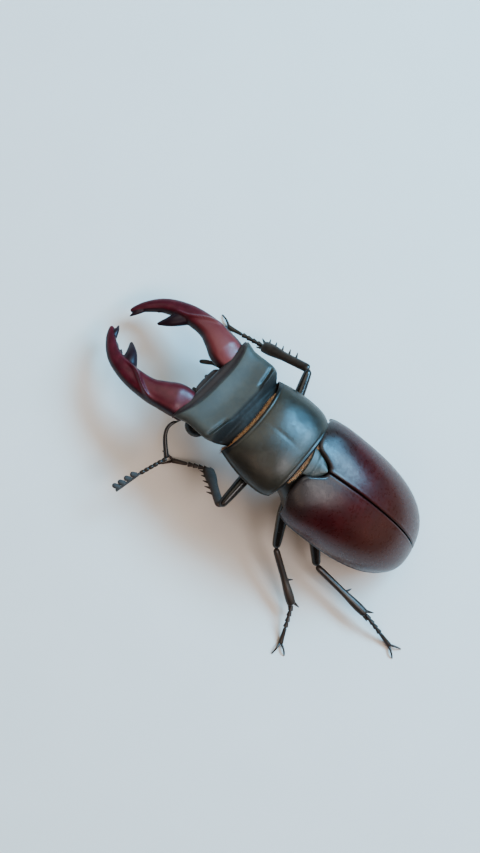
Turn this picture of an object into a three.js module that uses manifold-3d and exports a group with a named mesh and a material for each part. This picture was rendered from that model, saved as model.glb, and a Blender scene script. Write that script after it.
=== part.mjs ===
// Male stag beetle, Lucanus cervus, standing with its fore body raised.
// Millimetres, +Z up, head towards -Y, its own left side towards +X, floor at Z = 0.

import * as THREE from 'three';
import { mergeVertices } from 'three/addons/utils/BufferGeometryUtils.js';
import Module from 'manifold-3d';

const wasm = await Module();
wasm.setup();

// ---------------------------------------------------------------- driving dimensions

const stance = {
  hingeHeight: 17.5, // floor to the hinge between prothorax and hind body
  bodyPitch: -22, // hind body, nose up
  bodyRoll: -2.8, // hind body, back leaning to the animal's right
  prothoraxPitch: 26, // against the hind body, nose down
  prothoraxYaw: -10.5, // turned to the animal's right
  headPitch: 20,
  headYaw: -4.3,
};

const elytra = {
  start: -0.85, // foremost part of the base, from the hinge
  end: 33.2,
  halfWidth: 10.6,
  crown: 7.6,
  shell: 0.75,
  marginHeight: -0.9,
  roundness: 2.2,
  sutureGap: 0.07,
};

const pronotum = { length: 11.2, halfWidth: 9.6, crown: 4.9, marginHeight: 0.1, underside: -4.9 };
const head = { rear: 2.4, underside: -3.9, neckForward: 0.4, neckUp: 0.5 };
const trunk = { front: -1.4, split: 13.2, rear: 31.4, gap: 0.3 };
const eye = { radii: [1.75, 2.0, 1.66], x: 8.0, y: -7.4, z: -0.6 };

const clearance = 0.1; // between neighbouring pieces
const coxaSize = { front: [2.3, 1.9, 1.9], middle: [2.2, 1.8, 1.6], hind: [3.0, 1.5, 1.5] };

// Hips lie in their segment's frame; each limb segment has a length, a heading
// turned outwards from straight ahead, and a rise above the horizontal (degrees).
const legs = [
  {
    name: 'front_left', side: 1, hip: [3.9, -5.0, -4.4],
    femur: { length: 10.6, heading: 80, rise: -6 },
    tibia: { length: 11.6, heading: -63, rise: -53 },
    tarsus: { length: 8.6, heading: 17 },
  },
  {
    name: 'front_right', side: -1, hip: [3.9, -5.0, -4.4],
    femur: { length: 12.0, heading: 80, rise: 2 },
    tibia: { length: 11.3, heading: 6, rise: -46 },
    tarsus: { length: 8.6, heading: 4 },
  },
  {
    name: 'middle_left', side: 1, hip: [5.2, 4.5, -4.6],
    femur: { length: 10.8, heading: 119, rise: -28 },
    tibia: { length: 11.9, heading: 144, rise: -18 },
    tarsus: { length: 9.4, heading: 111 },
  },
  {
    name: 'middle_right', side: -1, hip: [5.2, 4.5, -4.6],
    femur: { length: 10.0, heading: 143, rise: -17 },
    tibia: { length: 11.8, heading: -13, rise: -34 },
    tarsus: { length: 9.0, heading: 25 },
  },
  {
    name: 'hind_left', side: 1, hip: [4.9, 12.0, -4.8],
    femur: { length: 10.4, heading: 134, rise: -22 },
    tibia: { length: 13.7, heading: 170, rise: -6 },
    tarsus: { length: 10.6, heading: 166 },
  },
  {
    name: 'hind_right', side: -1, hip: [4.9, 12.0, -4.8],
    femur: { length: 10.2, heading: 138, rise: -15 },
    tibia: { length: 11.6, heading: 232, rise: -22 },
    tarsus: { length: 9.4, heading: 214 },
  },
];

const antennaRoot = [8.9, -10.4, -1.2]; // on the head, under its front corner
const antennae = [
  {
    name: 'left', side: 1, bow: [1.0, -1.5, 0],
    scape: { length: 7.05, heading: 106, rise: -15 },
    funicle: { length: 5.4, heading: 62, rise: -14 },
    club: { length: 5.3, heading: 69, rise: -15 },
  },
  {
    name: 'right', side: -1, bow: [-0.8, -0.4, 0],
    scape: { length: 6.5, heading: 182, rise: -25 },
    funicle: { length: 5.4, heading: 8, rise: -6 },
    club: { length: 4.8, heading: 0, rise: -8 },
  },
];

// ---------------------------------------------------------------- colours and finish

const finish = (color, roughness) => new THREE.MeshStandardMaterial({ color, roughness });
const blackChitin = () => finish(0x17140f, 0.38);
const headChitin = () => finish(0x22211c, 0.42);
const wineChitin = () => finish(0x3c1112, 0.33);
const mandibleChitin = () => finish(0x4e1a1b, 0.3);
const legChitin = () => finish(0x1a110c, 0.35);
const eyeChitin = () => finish(0x0a0908, 0.2);
const feelerChitin = () => finish(0x2b2420, 0.55);

// ---------------------------------------------------------------- geometry helpers

const rad = THREE.MathUtils.degToRad;
const vector = (x, y, z) => new THREE.Vector3(x, y, z);
const range = (count) => Array.from({ length: count }, (_, i) => i);
const evenly = (steps) => range(steps + 1).map((i) => i / steps);
const signedPower = (value, power) => Math.sign(value) * Math.abs(value) ** power;

// Smooth curve through [position, value] stations, without overshoot between them.
function profile(stations) {
  const slope = (i) => (stations[i + 1][1] - stations[i][1]) / (stations[i + 1][0] - stations[i][0]);
  const tangents = stations.map((_, i) => {
    if (i === 0) return slope(0);
    if (i === stations.length - 1) return slope(i - 1);
    const [before, after] = [slope(i - 1), slope(i)];
    return before * after <= 0 ? 0 : (2 * before * after) / (before + after);
  });
  return (position) => {
    const last = stations.length - 1;
    if (position <= stations[0][0]) return stations[0][1];
    if (position >= stations[last][0]) return stations[last][1];
    const i = stations.findIndex((station) => station[0] > position) - 1;
    const span = stations[i + 1][0] - stations[i][0];
    const s = (position - stations[i][0]) / span;
    const blend = s * s * (3 - 2 * s);
    return stations[i][1] * (1 - blend) + stations[i + 1][1] * blend
      + span * s * (1 - s) * (tangents[i] * (1 - s) - tangents[i + 1] * s);
  };
}

// Indexed geometry with shared points merged and its faces turned outwards.
function closed(points, faces) {
  const soup = new THREE.BufferGeometry().setFromPoints(points);
  soup.setIndex(faces.flat());
  const merged = mergeVertices(soup, 1e-4);
  const index = merged.getIndex().array;
  const kept = [];
  for (let i = 0; i < index.length; i += 3) {
    const [a, b, c] = index.slice(i, i + 3);
    if (a !== b && b !== c && c !== a) kept.push(a, b, c);
  }
  const corner = (i) => vector().fromBufferAttribute(merged.getAttribute('position'), kept[i]);
  let volume = 0;
  for (let i = 0; i < kept.length; i += 3) {
    volume += corner(i).dot(corner(i + 1).cross(corner(i + 2)));
  }
  if (volume < 0) kept.reverse();
  merged.setIndex(kept);
  merged.computeVertexNormals();
  return merged;
}

// Body between two surfaces over the unit square, with walls where their rims part.
function slab(rows, columns, upper, lower) {
  const points = [];
  const faces = [];
  const at = (sheet, i, j) => (sheet * (rows + 1) + i) * (columns + 1) + j;
  for (const surface of [upper, lower]) {
    for (let i = 0; i <= rows; i += 1) {
      for (let j = 0; j <= columns; j += 1) points.push(surface(i / rows, j / columns));
    }
  }
  for (let i = 0; i < rows; i += 1) {
    for (let j = 0; j < columns; j += 1) {
      faces.push([at(0, i, j), at(0, i + 1, j), at(0, i + 1, j + 1)]);
      faces.push([at(0, i, j), at(0, i + 1, j + 1), at(0, i, j + 1)]);
      faces.push([at(1, i, j), at(1, i + 1, j + 1), at(1, i + 1, j)]);
      faces.push([at(1, i, j), at(1, i, j + 1), at(1, i + 1, j + 1)]);
    }
  }
  const rim = [
    ...range(rows).map((i) => [i, 0]),
    ...range(columns).map((j) => [rows, j]),
    ...range(rows).map((i) => [rows - i, columns]),
    ...range(columns).map((j) => [0, columns - j]),
  ];
  rim.forEach(([i, j], k) => {
    const [m, n] = rim[(k + 1) % rim.length];
    faces.push([at(0, i, j), at(1, i, j), at(1, m, n)]);
    faces.push([at(0, i, j), at(1, m, n), at(0, m, n)]);
  });
  return closed(points, faces);
}

// Body through rings of equal point count, closed by a fan over each end.
function loft(rings) {
  const sides = rings[0].length;
  const faces = [];
  for (let i = 0; i + 1 < rings.length; i += 1) {
    for (let j = 0; j < sides; j += 1) {
      const [a, b] = [i * sides + j, i * sides + ((j + 1) % sides)];
      faces.push([a, b, b + sides], [a, b + sides, a + sides]);
    }
  }
  const points = rings.flat();
  const ends = [[0, true], [rings.length - 1, false]];
  for (const [ring, first] of ends) {
    const middle = rings[ring].reduce((sum, p) => sum.add(p), vector(0, 0, 0)).divideScalar(sides);
    points.push(middle);
    for (let j = 0; j < sides; j += 1) {
      const [a, b] = [ring * sides + j, ring * sides + ((j + 1) % sides)];
      faces.push(first ? [points.length - 1, b, a] : [points.length - 1, a, b]);
    }
  }
  return closed(points, faces);
}

// Tapered rod along a path; size(t) gives its width and its height at t from 0 to 1.
// Its rings stand at the given places, or at even steps.
function rod(path, size, { steps, sides, squareness = 2, places = evenly(steps) }) {
  const up = vector(0, 0, 1);
  const rings = places.map((t) => {
    const centre = path(t);
    const tangent = path(Math.min(t + 0.01, 1)).sub(path(Math.max(t - 0.01, 0))).normalize();
    const across = up.clone().cross(tangent).normalize();
    const above = tangent.clone().cross(across);
    const [width, height] = size(t);
    return range(sides).map((j) => {
      const angle = (2 * Math.PI * (j + 0.5)) / sides;
      const u = (width / 2) * signedPower(Math.cos(angle), 2 / squareness);
      const v = (height / 2) * signedPower(Math.sin(angle), 2 / squareness);
      return centre.clone().addScaledVector(across, u).addScaledVector(above, v);
    });
  });
  return loft(rings);
}

const straight = (from, to) => (t) => from.clone().lerp(to, t);
const curveThrough = (points) => {
  const curve = new THREE.CatmullRomCurve3(points.map((p) => vector(...p)), false, 'centripetal');
  return (t) => curve.getPoint(t);
};

// Pointed cone between two places, for teeth, spines and spurs.
const spike = (from, to, width, sides = 6) => rod(
  straight(vector(...from), vector(...to)),
  (t) => [width * (1 - 0.8 * t), width * (1 - 0.8 * t)],
  { steps: 1, sides },
);

const ellipsoid = (radii, segments = 8, rings = 6) => {
  const sphere = new THREE.SphereGeometry(1, segments, rings);
  sphere.deleteAttribute('uv');
  sphere.deleteAttribute('normal');
  sphere.scale(...radii);
  const merged = mergeVertices(sphere, 1e-4);
  merged.computeVertexNormals();
  return merged;
};

// ---------------------------------------------------------------- joining and cutting

function toSolid(geometry, matrix = new THREE.Matrix4()) {
  const placed = geometry.clone().applyMatrix4(matrix);
  const mesh = new wasm.Mesh({
    numProp: 3,
    vertProperties: new Float32Array(placed.getAttribute('position').array),
    triVerts: new Uint32Array(placed.getIndex().array),
  });
  return new wasm.Manifold(mesh);
}

function toGeometry(solid) {
  const mesh = solid.getMesh();
  const geometry = new THREE.BufferGeometry();
  geometry.setAttribute('position', new THREE.BufferAttribute(mesh.vertProperties, 3));
  geometry.setIndex(new THREE.BufferAttribute(mesh.triVerts, 1));
  geometry.computeVertexNormals();
  return geometry;
}

const join = (...geometries) => toGeometry(
  geometries.map((geometry) => toSolid(geometry)).reduce((all, one) => all.add(one)),
);

function swollen(geometry, by) {
  const grown = geometry.clone();
  const [position, normal] = [grown.getAttribute('position'), grown.getAttribute('normal')];
  for (let i = 0; i < position.count; i += 1) {
    const moved = vector().fromBufferAttribute(position, i);
    moved.addScaledVector(vector().fromBufferAttribute(normal, i), by);
    position.setXYZ(i, moved.x, moved.y, moved.z);
  }
  return grown;
}

// Cuts its neighbours' full shapes out of a mesh with a clearance, and keeps its largest piece.
function trim(mesh, neighbours, gap = clearance) {
  const toLocal = mesh.matrixWorld.clone().invert();
  let solid = toSolid(mesh.geometry);
  for (const neighbour of neighbours) {
    const matrix = toLocal.clone().multiply(neighbour.matrixWorld);
    const { fullShape } = neighbour.userData;
    solid = solid.subtract(toSolid(fullShape, matrix)).subtract(toSolid(swollen(fullShape, gap), matrix));
  }
  const pieces = solid.decompose();
  pieces.sort((a, b) => b.volume() - a.volume());
  mesh.geometry = toGeometry(pieces[0]);
}

function named(name, geometry, material) {
  const mesh = new THREE.Mesh(geometry, material);
  mesh.name = name;
  mesh.userData.fullShape = geometry;
  return mesh;
}

// ---------------------------------------------------------------- wing cases

// Where the front edge lies behind the hinge, from the suture (0) to the side margin (1).
const elytraBase = profile([
  [0, 2.7], [0.05, 2.35], [0.109, 1.12], [0.204, -0.43], [0.3, -0.8], [0.41, -0.85], [0.606, -0.7],
  [0.75, 0.2], [0.836, 1.0], [1, 2.0],
]);

// Half width and height of the back at a place along it, drawn in by a depth.
function backSection(y, depth) {
  const along = THREE.MathUtils.clamp((y - elytra.start) / (elytra.end - depth - elytra.start), 0, 1);
  const shoulder = 1 - 0.29 * Math.max(1 - along / 0.278, 0) ** 4;
  const taper = (1 - Math.max((along - 0.278) / 0.722, 0) ** 2.5) ** (1 / 2.3);
  const rise = 3.2 * Math.max(1 - along / 0.46, 0) ** 2.2;
  const drop = (1 - Math.max((along - 0.46) / 0.54, 0) ** 2.3) ** 0.75;
  const crown = elytra.marginHeight + (elytra.crown - elytra.marginHeight - rise) * drop;
  return {
    halfWidth: Math.max(elytra.halfWidth * shoulder * taper - depth, 0.3),
    crown: Math.max(crown - depth, elytra.marginHeight + 0.2),
  };
}

// Point on the back at t along it and at s from the suture (0) to the side margin (1).
function backPoint(t, s, depth) {
  const y = elytraBase(s) + t * (elytra.end - depth - elytraBase(s));
  const { halfWidth, crown } = backSection(y, depth);
  const angle = (s * Math.PI) / 2;
  const power = 2 / elytra.roundness;
  return vector(
    halfWidth * Math.sin(angle) ** power,
    y,
    elytra.marginHeight + (crown - elytra.marginHeight) * Math.cos(angle) ** power,
  );
}

function makeElytron(name, side) {
  const surface = (depth) => (t, s) => {
    const point = backPoint(t, s, depth);
    point.x = side * (elytra.sutureGap + point.x);
    return point;
  };
  return named(name, slab(11, 9, surface(0), surface(elytra.shell)), wineChitin());
}

function makeScutellum() {
  const [front, rear, halfWidth] = [-1.1, 2.5, 2.85];
  const surface = (height) => (u, v) => {
    const across = 2 * v - 1;
    const width = halfWidth * Math.sqrt(1 - u ** 1.5 * 0.98);
    const z = height + 1.3 * u - 0.5 * across ** 2;
    return vector(width * across, front + u * (rear - front), z);
  };
  return named('scutellum', slab(4, 4, surface(4.0), surface(3.1)), headChitin());
}

// ---------------------------------------------------------------- thorax and abdomen

const bellyDepth = profile([
  [-1.4, -3.6], [1, -5.0], [5, -5.8], [9, -5.9], [13, -5.4], [18, -5.2], [24, -4.4], [28, -3.2], [31, -1.6],
]);
const neckWidth = profile([[-1.4, 5.6], [0.4, 6.6], [1.7, 7.1], [3.2, 8.1], [5, 9.0], [7, 10.5]]);
const neckCrown = profile([[-1.4, 3.0], [0.6, 3.1], [1.7, 2.9], [3, 3.5], [6, 4.8], [9, 7.2]]);

// Trunk under the wing cases between two places along it, with shallow rings below.
function makeTrunk(name, from, to, rows, ringSpacing) {
  const depth = elytra.shell + trunk.gap;
  const section = (u, v) => {
    const y = from + u * (to - from);
    const across = Math.sin((2 * v - 1) * (Math.PI / 2));
    return { y, across, x: Math.min(backSection(y, depth).halfWidth, neckWidth(y)) * across };
  };
  const upper = (u, v) => {
    const { y, across, x } = section(u, v);
    const crown = Math.min(backSection(y, depth).crown, neckCrown(y));
    const fall = Math.max(1 - Math.abs(across) ** elytra.roundness, 0) ** (1 / elytra.roundness);
    return vector(x, y, elytra.marginHeight + (crown - elytra.marginHeight) * fall);
  };
  const lower = (u, v) => {
    const { y, across, x } = section(u, v);
    const ring = ringSpacing ? 0.22 * Math.abs(Math.sin((Math.PI * (y - from)) / ringSpacing)) : 0;
    const fall = Math.max(1 - across ** 2, 0) ** 0.4;
    return vector(x, y, elytra.marginHeight + (bellyDepth(y) - elytra.marginHeight - ring) * fall);
  };
  return named(name, slab(rows, 12, upper, lower), blackChitin());
}

// ---------------------------------------------------------------- prothorax

const pronotumWidth = (u) => (
  1 - 0.1 * Math.max(1 - u / 0.35, 0) ** 3 - 0.13 * Math.max((u - 0.35) / 0.65, 0) ** 1.9
);
const pronotumFall = (u) => (
  Math.max((0.42 - u) / 0.42, 0) ** 2.2 + 1.6 * Math.max((u - 0.42) / 0.58, 0) ** 2.3
);

function makeProthorax() {
  const outline = (u, v) => {
    const across = Math.sin((2 * v - 1) * (Math.PI / 2));
    const rear = 0.1 - 0.6 * Math.abs(across) ** 6;
    const front = -pronotum.length - 0.8 * Math.abs(across) ** 4 + 0.15 * Math.cos(across * Math.PI);
    return {
      across,
      x: pronotum.halfWidth * pronotumWidth(u) * across,
      y: rear + u * (front - rear),
    };
  };
  const upper = (u, v) => {
    const { across, x, y } = outline(u, v);
    const dome = (1 - Math.abs(across) ** 2.5) ** 0.62;
    const rise = pronotum.crown - pronotumFall(u) - pronotum.marginHeight;
    return vector(x, y, pronotum.marginHeight + rise * dome);
  };
  const lower = (u, v) => {
    const { across, x, y } = outline(u, v);
    const bulge = (1 - Math.abs(across) ** 2.4) ** 0.6 * (0.72 + 0.28 * Math.sin(Math.PI * u));
    return vector(x, y, pronotum.marginHeight + (pronotum.underside - pronotum.marginHeight) * bulge);
  };
  return named('prothorax', slab(7, 11, upper, lower), headChitin());
}

// ---------------------------------------------------------------- head

const headWidth = profile([
  [0, 5.6], [0.16, 6.7], [0.28, 7.7], [0.36, 8.9], [0.46, 9.3], [0.7, 9.2], [0.86, 9.75], [1, 9.75],
]);
const headCrown = profile([
  [0, 1.2], [0.16, 1.9], [0.3, 2.3], [0.37, 3.0], [0.6, 3.0], [0.82, 3.15], [0.88, 2.9], [1, 0.9],
]);
const brow = 0.86; // share of the way from neck to mouth where the flat of the head ends

function makeHead() {
  const outline = (u, v) => {
    const across = 2 * v - 1;
    const browLine = -8.7 - 2.0 * Math.abs(across) ** 3;
    const mouthLine = -11.0 - 0.5 * Math.abs(across) ** 2;
    const y = u < brow
      ? head.rear + (u / brow) * (browLine - head.rear)
      : browLine + ((u - brow) / (1 - brow)) * (mouthLine - browLine);
    return { across, x: headWidth(u) * across, y };
  };
  const upper = (u, v) => {
    const { across, x, y } = outline(u, v);
    const ridge = 0.9 * Math.exp(-(((u - 0.38) / 0.05) ** 2)) * Math.max(0, Math.abs(across) - 0.45);
    const dish = 0.35 * (1 - across ** 2) * Math.sin(Math.PI * THREE.MathUtils.clamp((u - 0.38) * 2.1, 0, 1));
    const edgeFall = u < 0.34 ? 2.2 * Math.abs(across) ** 3 : 1.1 * Math.abs(across) ** 8;
    return vector(x, y, headCrown(u) + ridge - dish - edgeFall);
  };
  const lower = (u, v) => {
    const top = upper(u, v);
    const rim = upper(u, v < 0.5 ? 0 : 1).z;
    const bulge = (1 - Math.abs(2 * v - 1) ** 3) ** 0.55;
    const throat = head.underside + 2.4 * u ** 6 + 1.2 * (1 - u) ** 4;
    const z = Math.min(rim + (throat - rim) * bulge, top.z);
    return vector(top.x * (1 - 0.06 * bulge), top.y, z);
  };
  return named('head', slab(11, 12, upper, lower), headChitin());
}

function makeLabrum() {
  const surface = (lift) => (u, v) => {
    const across = 2 * v - 1;
    const width = 3.1 * (1 - 0.3 * u ** 2);
    return vector(width * across, -10.9 - 1.6 * u, 0.5 - 0.6 * u + lift - 0.25 * across ** 2);
  };
  return named('labrum', slab(2, 3, surface(0.35), surface(-0.5)), feelerChitin());
}

function makeEye(name, side) {
  const mesh = named(name, ellipsoid(eye.radii), eyeChitin());
  mesh.position.set(side * eye.x, eye.y, eye.z);
  return mesh;
}

// ---------------------------------------------------------------- mandibles

const mandiblePath = [
  [6.5, -9.7, 0.45], [6.7, -12.2, 0.9], [7.75, -14.9, 1.15], [8.6, -17.2, 1.2], [8.95, -20.2, 1.2],
  [8.75, -23.6, 1.0], [7.8, -27.0, 0.6], [5.6, -29.9, 0.2], [3.5, -31.6, 0.0],
];
const mandibleWidth = profile([
  [0, 5.6], [0.125, 5.9], [0.25, 4.8], [0.375, 3.8], [0.5, 3.4], [0.625, 3.1], [0.75, 2.5], [0.88, 1.7],
  [1, 0.5],
]);
const mandibleHeight = profile([[0, 4.6], [0.15, 4.3], [0.35, 3.4], [0.6, 2.8], [0.85, 1.9], [1, 0.5]]);

const mandibleClosing = { left: 0, right: 6 }; // turned inwards about its base, degrees
const mandibleInset = { left: 0, right: 0.4 };
const bigToothAt = { left: 0.58, right: 0.53 };

// Lesser teeth along the inner edge, with their reach inwards and forwards.
const teeth = [
  { at: 0.69, inward: 2.4, forward: 1.2, width: 1.3 },
  { at: 0.75, inward: 2.3, forward: 1.2, width: 1.2 },
  { at: 0.81, inward: 2.0, forward: 1.1, width: 1.1 },
  { at: 0.88, inward: 3.4, forward: 1.1, width: 1.7 },
];

function makeMandible(name, side) {
  const [pivotX, pivotY] = mandiblePath[0];
  const which = name.split('_')[1];
  const closing = rad(mandibleClosing[which]);
  const baseX = pivotX - mandibleInset[which];
  const curve = curveThrough(mandiblePath.map(([x, y, z]) => [
    side * (baseX + (x - pivotX) * Math.cos(closing) + (y - pivotY) * Math.sin(closing)),
    pivotY + (y - pivotY) * Math.cos(closing) - (x - pivotX) * Math.sin(closing),
    z,
  ]));
  const blade = rod(curve, (t) => [mandibleWidth(t), mandibleHeight(t)], { steps: 11, sides: 8 });
  const bigTooth = { at: bigToothAt[which], inward: 5.3, forward: 3.6, width: 3.4 };
  const spikes = [bigTooth, ...teeth].map(({ at, inward, forward, width }) => {
    const root = curve(at);
    const tip = [root.x - side * inward, root.y - forward, root.z - 0.15 * inward];
    return spike(root.toArray(), tip, width, width > 2 ? 8 : 5);
  });
  return named(name, join(blade, ...spikes), mandibleChitin());
}

// ---------------------------------------------------------------- feelers

// Direction from straight ahead (-Y), turned outwards on either side, and raised.
const direction = (side, heading, rise) => vector(
  side * Math.sin(rad(heading)) * Math.cos(rad(rise)),
  -Math.cos(rad(heading)) * Math.cos(rad(rise)),
  Math.sin(rad(rise)),
);
const reach = (from, side, { length, heading, rise }) => (
  from.clone().addScaledVector(direction(side, heading, rise), length)
);

// Width along a row of beads that narrows to a share of itself between them.
const beaded = (beads, thick, pinch) => (t) => thick * (pinch + (1 - pinch)
  * Math.sqrt(Math.abs(Math.sin(Math.PI * THREE.MathUtils.clamp(t, 0.02, 0.98) * beads))));

function makeAntenna({ name, side, bow, scape, funicle, club }, root) {
  const elbow = reach(root, side, scape);
  const wrist = reach(elbow, side, funicle);
  const tip = reach(wrist, side, club);
  const bowed = (t) => (
    straight(root, elbow)(t).addScaledVector(vector(...bow), Math.sin(Math.PI * Math.sqrt(t)))
  );
  const stalk = rod(bowed, (t) => [0.62 + 0.35 * t, 0.62 + 0.35 * t], { steps: 6, sides: 6 });
  const beads = beaded(4, 0.78, 0.68);
  const string = rod(straight(elbow, wrist), (t) => [beads(t), beads(t)], { steps: 8, sides: 4 });
  const axis = rod(straight(wrist, tip), () => [0.6, 0.6], { steps: 1, sides: 4 });
  const along = tip.clone().sub(wrist);
  const inward = direction(side, club.heading - 90, 0);
  const plates = [0.12, 0.36, 0.6, 0.82].map((t, i) => {
    const start = wrist.clone().addScaledVector(along, t);
    const end = start.clone().addScaledVector(inward, 1.0 + 0.1 * i).addScaledVector(along, 0.16);
    return rod(straight(start, end), (s) => [0.85 - 0.2 * s, 0.6], { steps: 1, sides: 4 });
  });
  return [
    named(`antenna_${name}_scape`, stalk, legChitin()),
    named(`antenna_${name}_funicle`, string, legChitin()),
    named(`antenna_${name}_club`, join(axis, ...plates), feelerChitin()),
  ];
}

const palps = [
  {
    name: 'palp_maxillary',
    path: [[3.6, -9.2, -1.9], [4.6, -12.0, -2.6], [4.2, -14.2, -3.2], [3.2, -16.4, -3.9]],
  },
  { name: 'palp_labial', path: [[1.5, -10.0, -2.3], [1.9, -12.0, -3.0], [1.6, -13.6, -3.7]] },
];

function makePalp(name, side, path) {
  const curve = curveThrough(path.map(([x, y, z]) => [side * x, y, z]));
  const beads = beaded(path.length - 1, 0.85, 0.65);
  const shape = rod(curve, (t) => [beads(t), beads(t)], { steps: 6, sides: 5 });
  return named(`${name}_${side > 0 ? 'left' : 'right'}`, shape, feelerChitin());
}

// ---------------------------------------------------------------- legs

// Limb segments lie along their own +X, with +Z above and +Y to their left.
const femurSize = profile([[0, 1.2], [0.1, 1.7], [0.38, 2.35], [0.7, 2.1], [0.92, 1.75], [1, 1.1]]);
const tibiaSize = profile([[0, 0.95], [0.08, 1.25], [0.5, 1.3], [0.85, 1.75], [1, 1.6]]);

function femurShape(length) {
  const path = straight(vector(0, 0, 0), vector(length, 0, 0));
  return rod(path, (t) => [0.88 * femurSize(t), femurSize(t)], { steps: 5, sides: 6 });
}

// Outer side of the shin: one thorn on middle and hind legs, a row of teeth in front.
function tibiaShape(length, isFront, outer) {
  const path = straight(vector(0, 0, 0), vector(length, 0, 0));
  const widen = isFront ? 1.35 : 1;
  const shin = rod(path, (t) => [widen * tibiaSize(t), 0.85 * tibiaSize(t)], { steps: 4, sides: 6 });
  const thorns = isFront ? [0.3, 0.45, 0.6, 0.75, 0.88] : [0.55];
  const spikes = thorns.map((t) => spike(
    [t * length, 0, 0],
    [t * length + 0.7, outer * (0.62 * widen + 0.95), 0],
    0.75,
    4,
  ));
  const spurs = [-1, 1].map((sign) => spike(
    [length - 0.7, 0.3 * sign, 0],
    [length + 1.1, sign * (0.75 + (sign === outer ? 0.55 : 0)), -0.2],
    0.8,
    4,
  ));
  return join(shin, ...spikes, ...spurs);
}

// Foot: four short joints and a long one, then two claws that reach the floor.
function tarsusShape(length, drop) {
  const sole = 0.34;
  const clawReach = 2.0;
  const end = length - clawReach;
  const path = (t) => vector(
    end * t,
    0,
    -drop + sole + (drop - sole) * (1 - t) ** 1.5 + 0.5 * Math.sin(Math.PI * t),
  );
  const jointEnds = [0, 0.14, 0.28, 0.42, 0.56, 1];
  const thickness = (t) => {
    const i = Math.max(jointEnds.findIndex((joint) => joint > t) - 1, 0);
    const s = t >= 1 ? 1 : (t - jointEnds[i]) / (jointEnds[i + 1] - jointEnds[i]);
    return 0.62 + 0.42 * s ** 1.2;
  };
  const places = [0, ...jointEnds.slice(1, -1).flatMap((joint) => [joint - 0.012, joint + 0.012]), 1];
  const foot = rod(path, (t) => [thickness(t), thickness(t)], { places, sides: 4 });
  const claws = [-1, 1].map((sign) => {
    const curve = curveThrough([
      [end - 0.5, 0, -drop + sole],
      [end + 0.9, 0.75 * sign, -drop + sole + 0.35],
      [length, 1.25 * sign, -drop + 0.1],
    ]);
    return rod(curve, (t) => [0.62 - 0.12 * t, 0.62 - 0.12 * t], { steps: 2, sides: 4 });
  });
  return join(foot, ...claws);
}

function aim(mesh, from, side, heading, rise) {
  mesh.position.copy(from);
  mesh.rotation.set(0, -rad(rise), Math.atan2(-Math.cos(rad(heading)), side * Math.sin(rad(heading))), 'ZYX');
  return mesh;
}

function makeLeg(leg, hip) {
  const { name, side, femur, tibia, tarsus } = leg;
  const isFront = name.startsWith('front');
  const knee = reach(hip, side, femur);
  const ankle = reach(knee, side, tibia);
  const thigh = named(`femur_${name}`, femurShape(femur.length), legChitin());
  const shin = named(`tibia_${name}`, tibiaShape(tibia.length, isFront, side), legChitin());
  const foot = named(`tarsus_${name}`, tarsusShape(tarsus.length, ankle.z), legChitin());
  aim(thigh, hip, side, femur.heading, femur.rise);
  aim(shin, knee, side, tibia.heading, tibia.rise);
  aim(foot, ankle, side, tarsus.heading, 0);
  return { thigh, shin, foot };
}

function makeCoxa({ name, side, hip }) {
  const place = name.split('_')[0];
  const mesh = named(`coxa_${name}`, ellipsoid(coxaSize[place], 8, 6), legChitin());
  mesh.position.set(side * (hip[0] - 1.6), hip[1], hip[2] + 0.3);
  return mesh;
}

// ---------------------------------------------------------------- the whole beetle

const beetle = new THREE.Group();
const spine = new THREE.Group();
const hindBody = new THREE.Group();
const foreBody = new THREE.Group();
const headGroup = new THREE.Group();

spine.position.z = stance.hingeHeight;
spine.rotation.x = rad(stance.bodyPitch);
hindBody.rotation.y = rad(stance.bodyRoll);
foreBody.rotation.set(rad(stance.prothoraxPitch), 0, rad(stance.prothoraxYaw), 'ZXY');
headGroup.position.set(0, head.neckForward - pronotum.length, head.neckUp);
headGroup.rotation.set(rad(stance.headPitch), 0, rad(stance.headYaw), 'ZXY');
foreBody.add(headGroup);
spine.add(hindBody, foreBody);
beetle.add(spine);

const elytronLeft = makeElytron('elytron_left', 1);
const elytronRight = makeElytron('elytron_right', -1);
const scutellum = makeScutellum();
const thorax = makeTrunk('thorax', trunk.front, trunk.split, 6, 0);
const abdomen = makeTrunk('abdomen', trunk.split + 2 * clearance, trunk.rear, 7, 4.3);
hindBody.add(elytronLeft, elytronRight, scutellum, thorax, abdomen);

const prothorax = makeProthorax();
foreBody.add(prothorax);

const skull = makeHead();
const labrum = makeLabrum();
const eyes = [makeEye('eye_left', 1), makeEye('eye_right', -1)];
const mandibles = [makeMandible('mandible_left', 1), makeMandible('mandible_right', -1)];
const palpPieces = palps.flatMap(({ name, path }) => [1, -1].map((side) => makePalp(name, side, path)));
headGroup.add(skull, labrum, ...eyes, ...mandibles, ...palpPieces);

const coxae = legs.map((leg) => {
  const coxa = makeCoxa(leg);
  (leg.name.startsWith('front') ? foreBody : hindBody).add(coxa);
  return coxa;
});
beetle.updateMatrixWorld(true);

const limbs = legs.map((leg) => {
  const segment = leg.name.startsWith('front') ? foreBody : hindBody;
  const hip = segment.localToWorld(vector(leg.side * leg.hip[0], leg.hip[1], leg.hip[2]));
  return makeLeg(leg, hip);
});
limbs.forEach(({ thigh, shin, foot }) => beetle.add(thigh, shin, foot));

const feelers = antennae.map((antenna) => {
  const [x, y, z] = antennaRoot;
  const root = headGroup.localToWorld(vector(antenna.side * x, y, z));
  return makeAntenna(antenna, root);
});
feelers.forEach((pieces) => beetle.add(...pieces));
beetle.updateMatrixWorld(true);

// ---------------------------------------------------------------- fitting the pieces

const floorSize = 200;
const corners = (z) => (u, v) => vector((u - 0.5) * floorSize, (v - 0.5) * floorSize, z);
const floor = named('floor', slab(1, 1, corners(0), corners(-floorSize)), legChitin());

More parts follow.
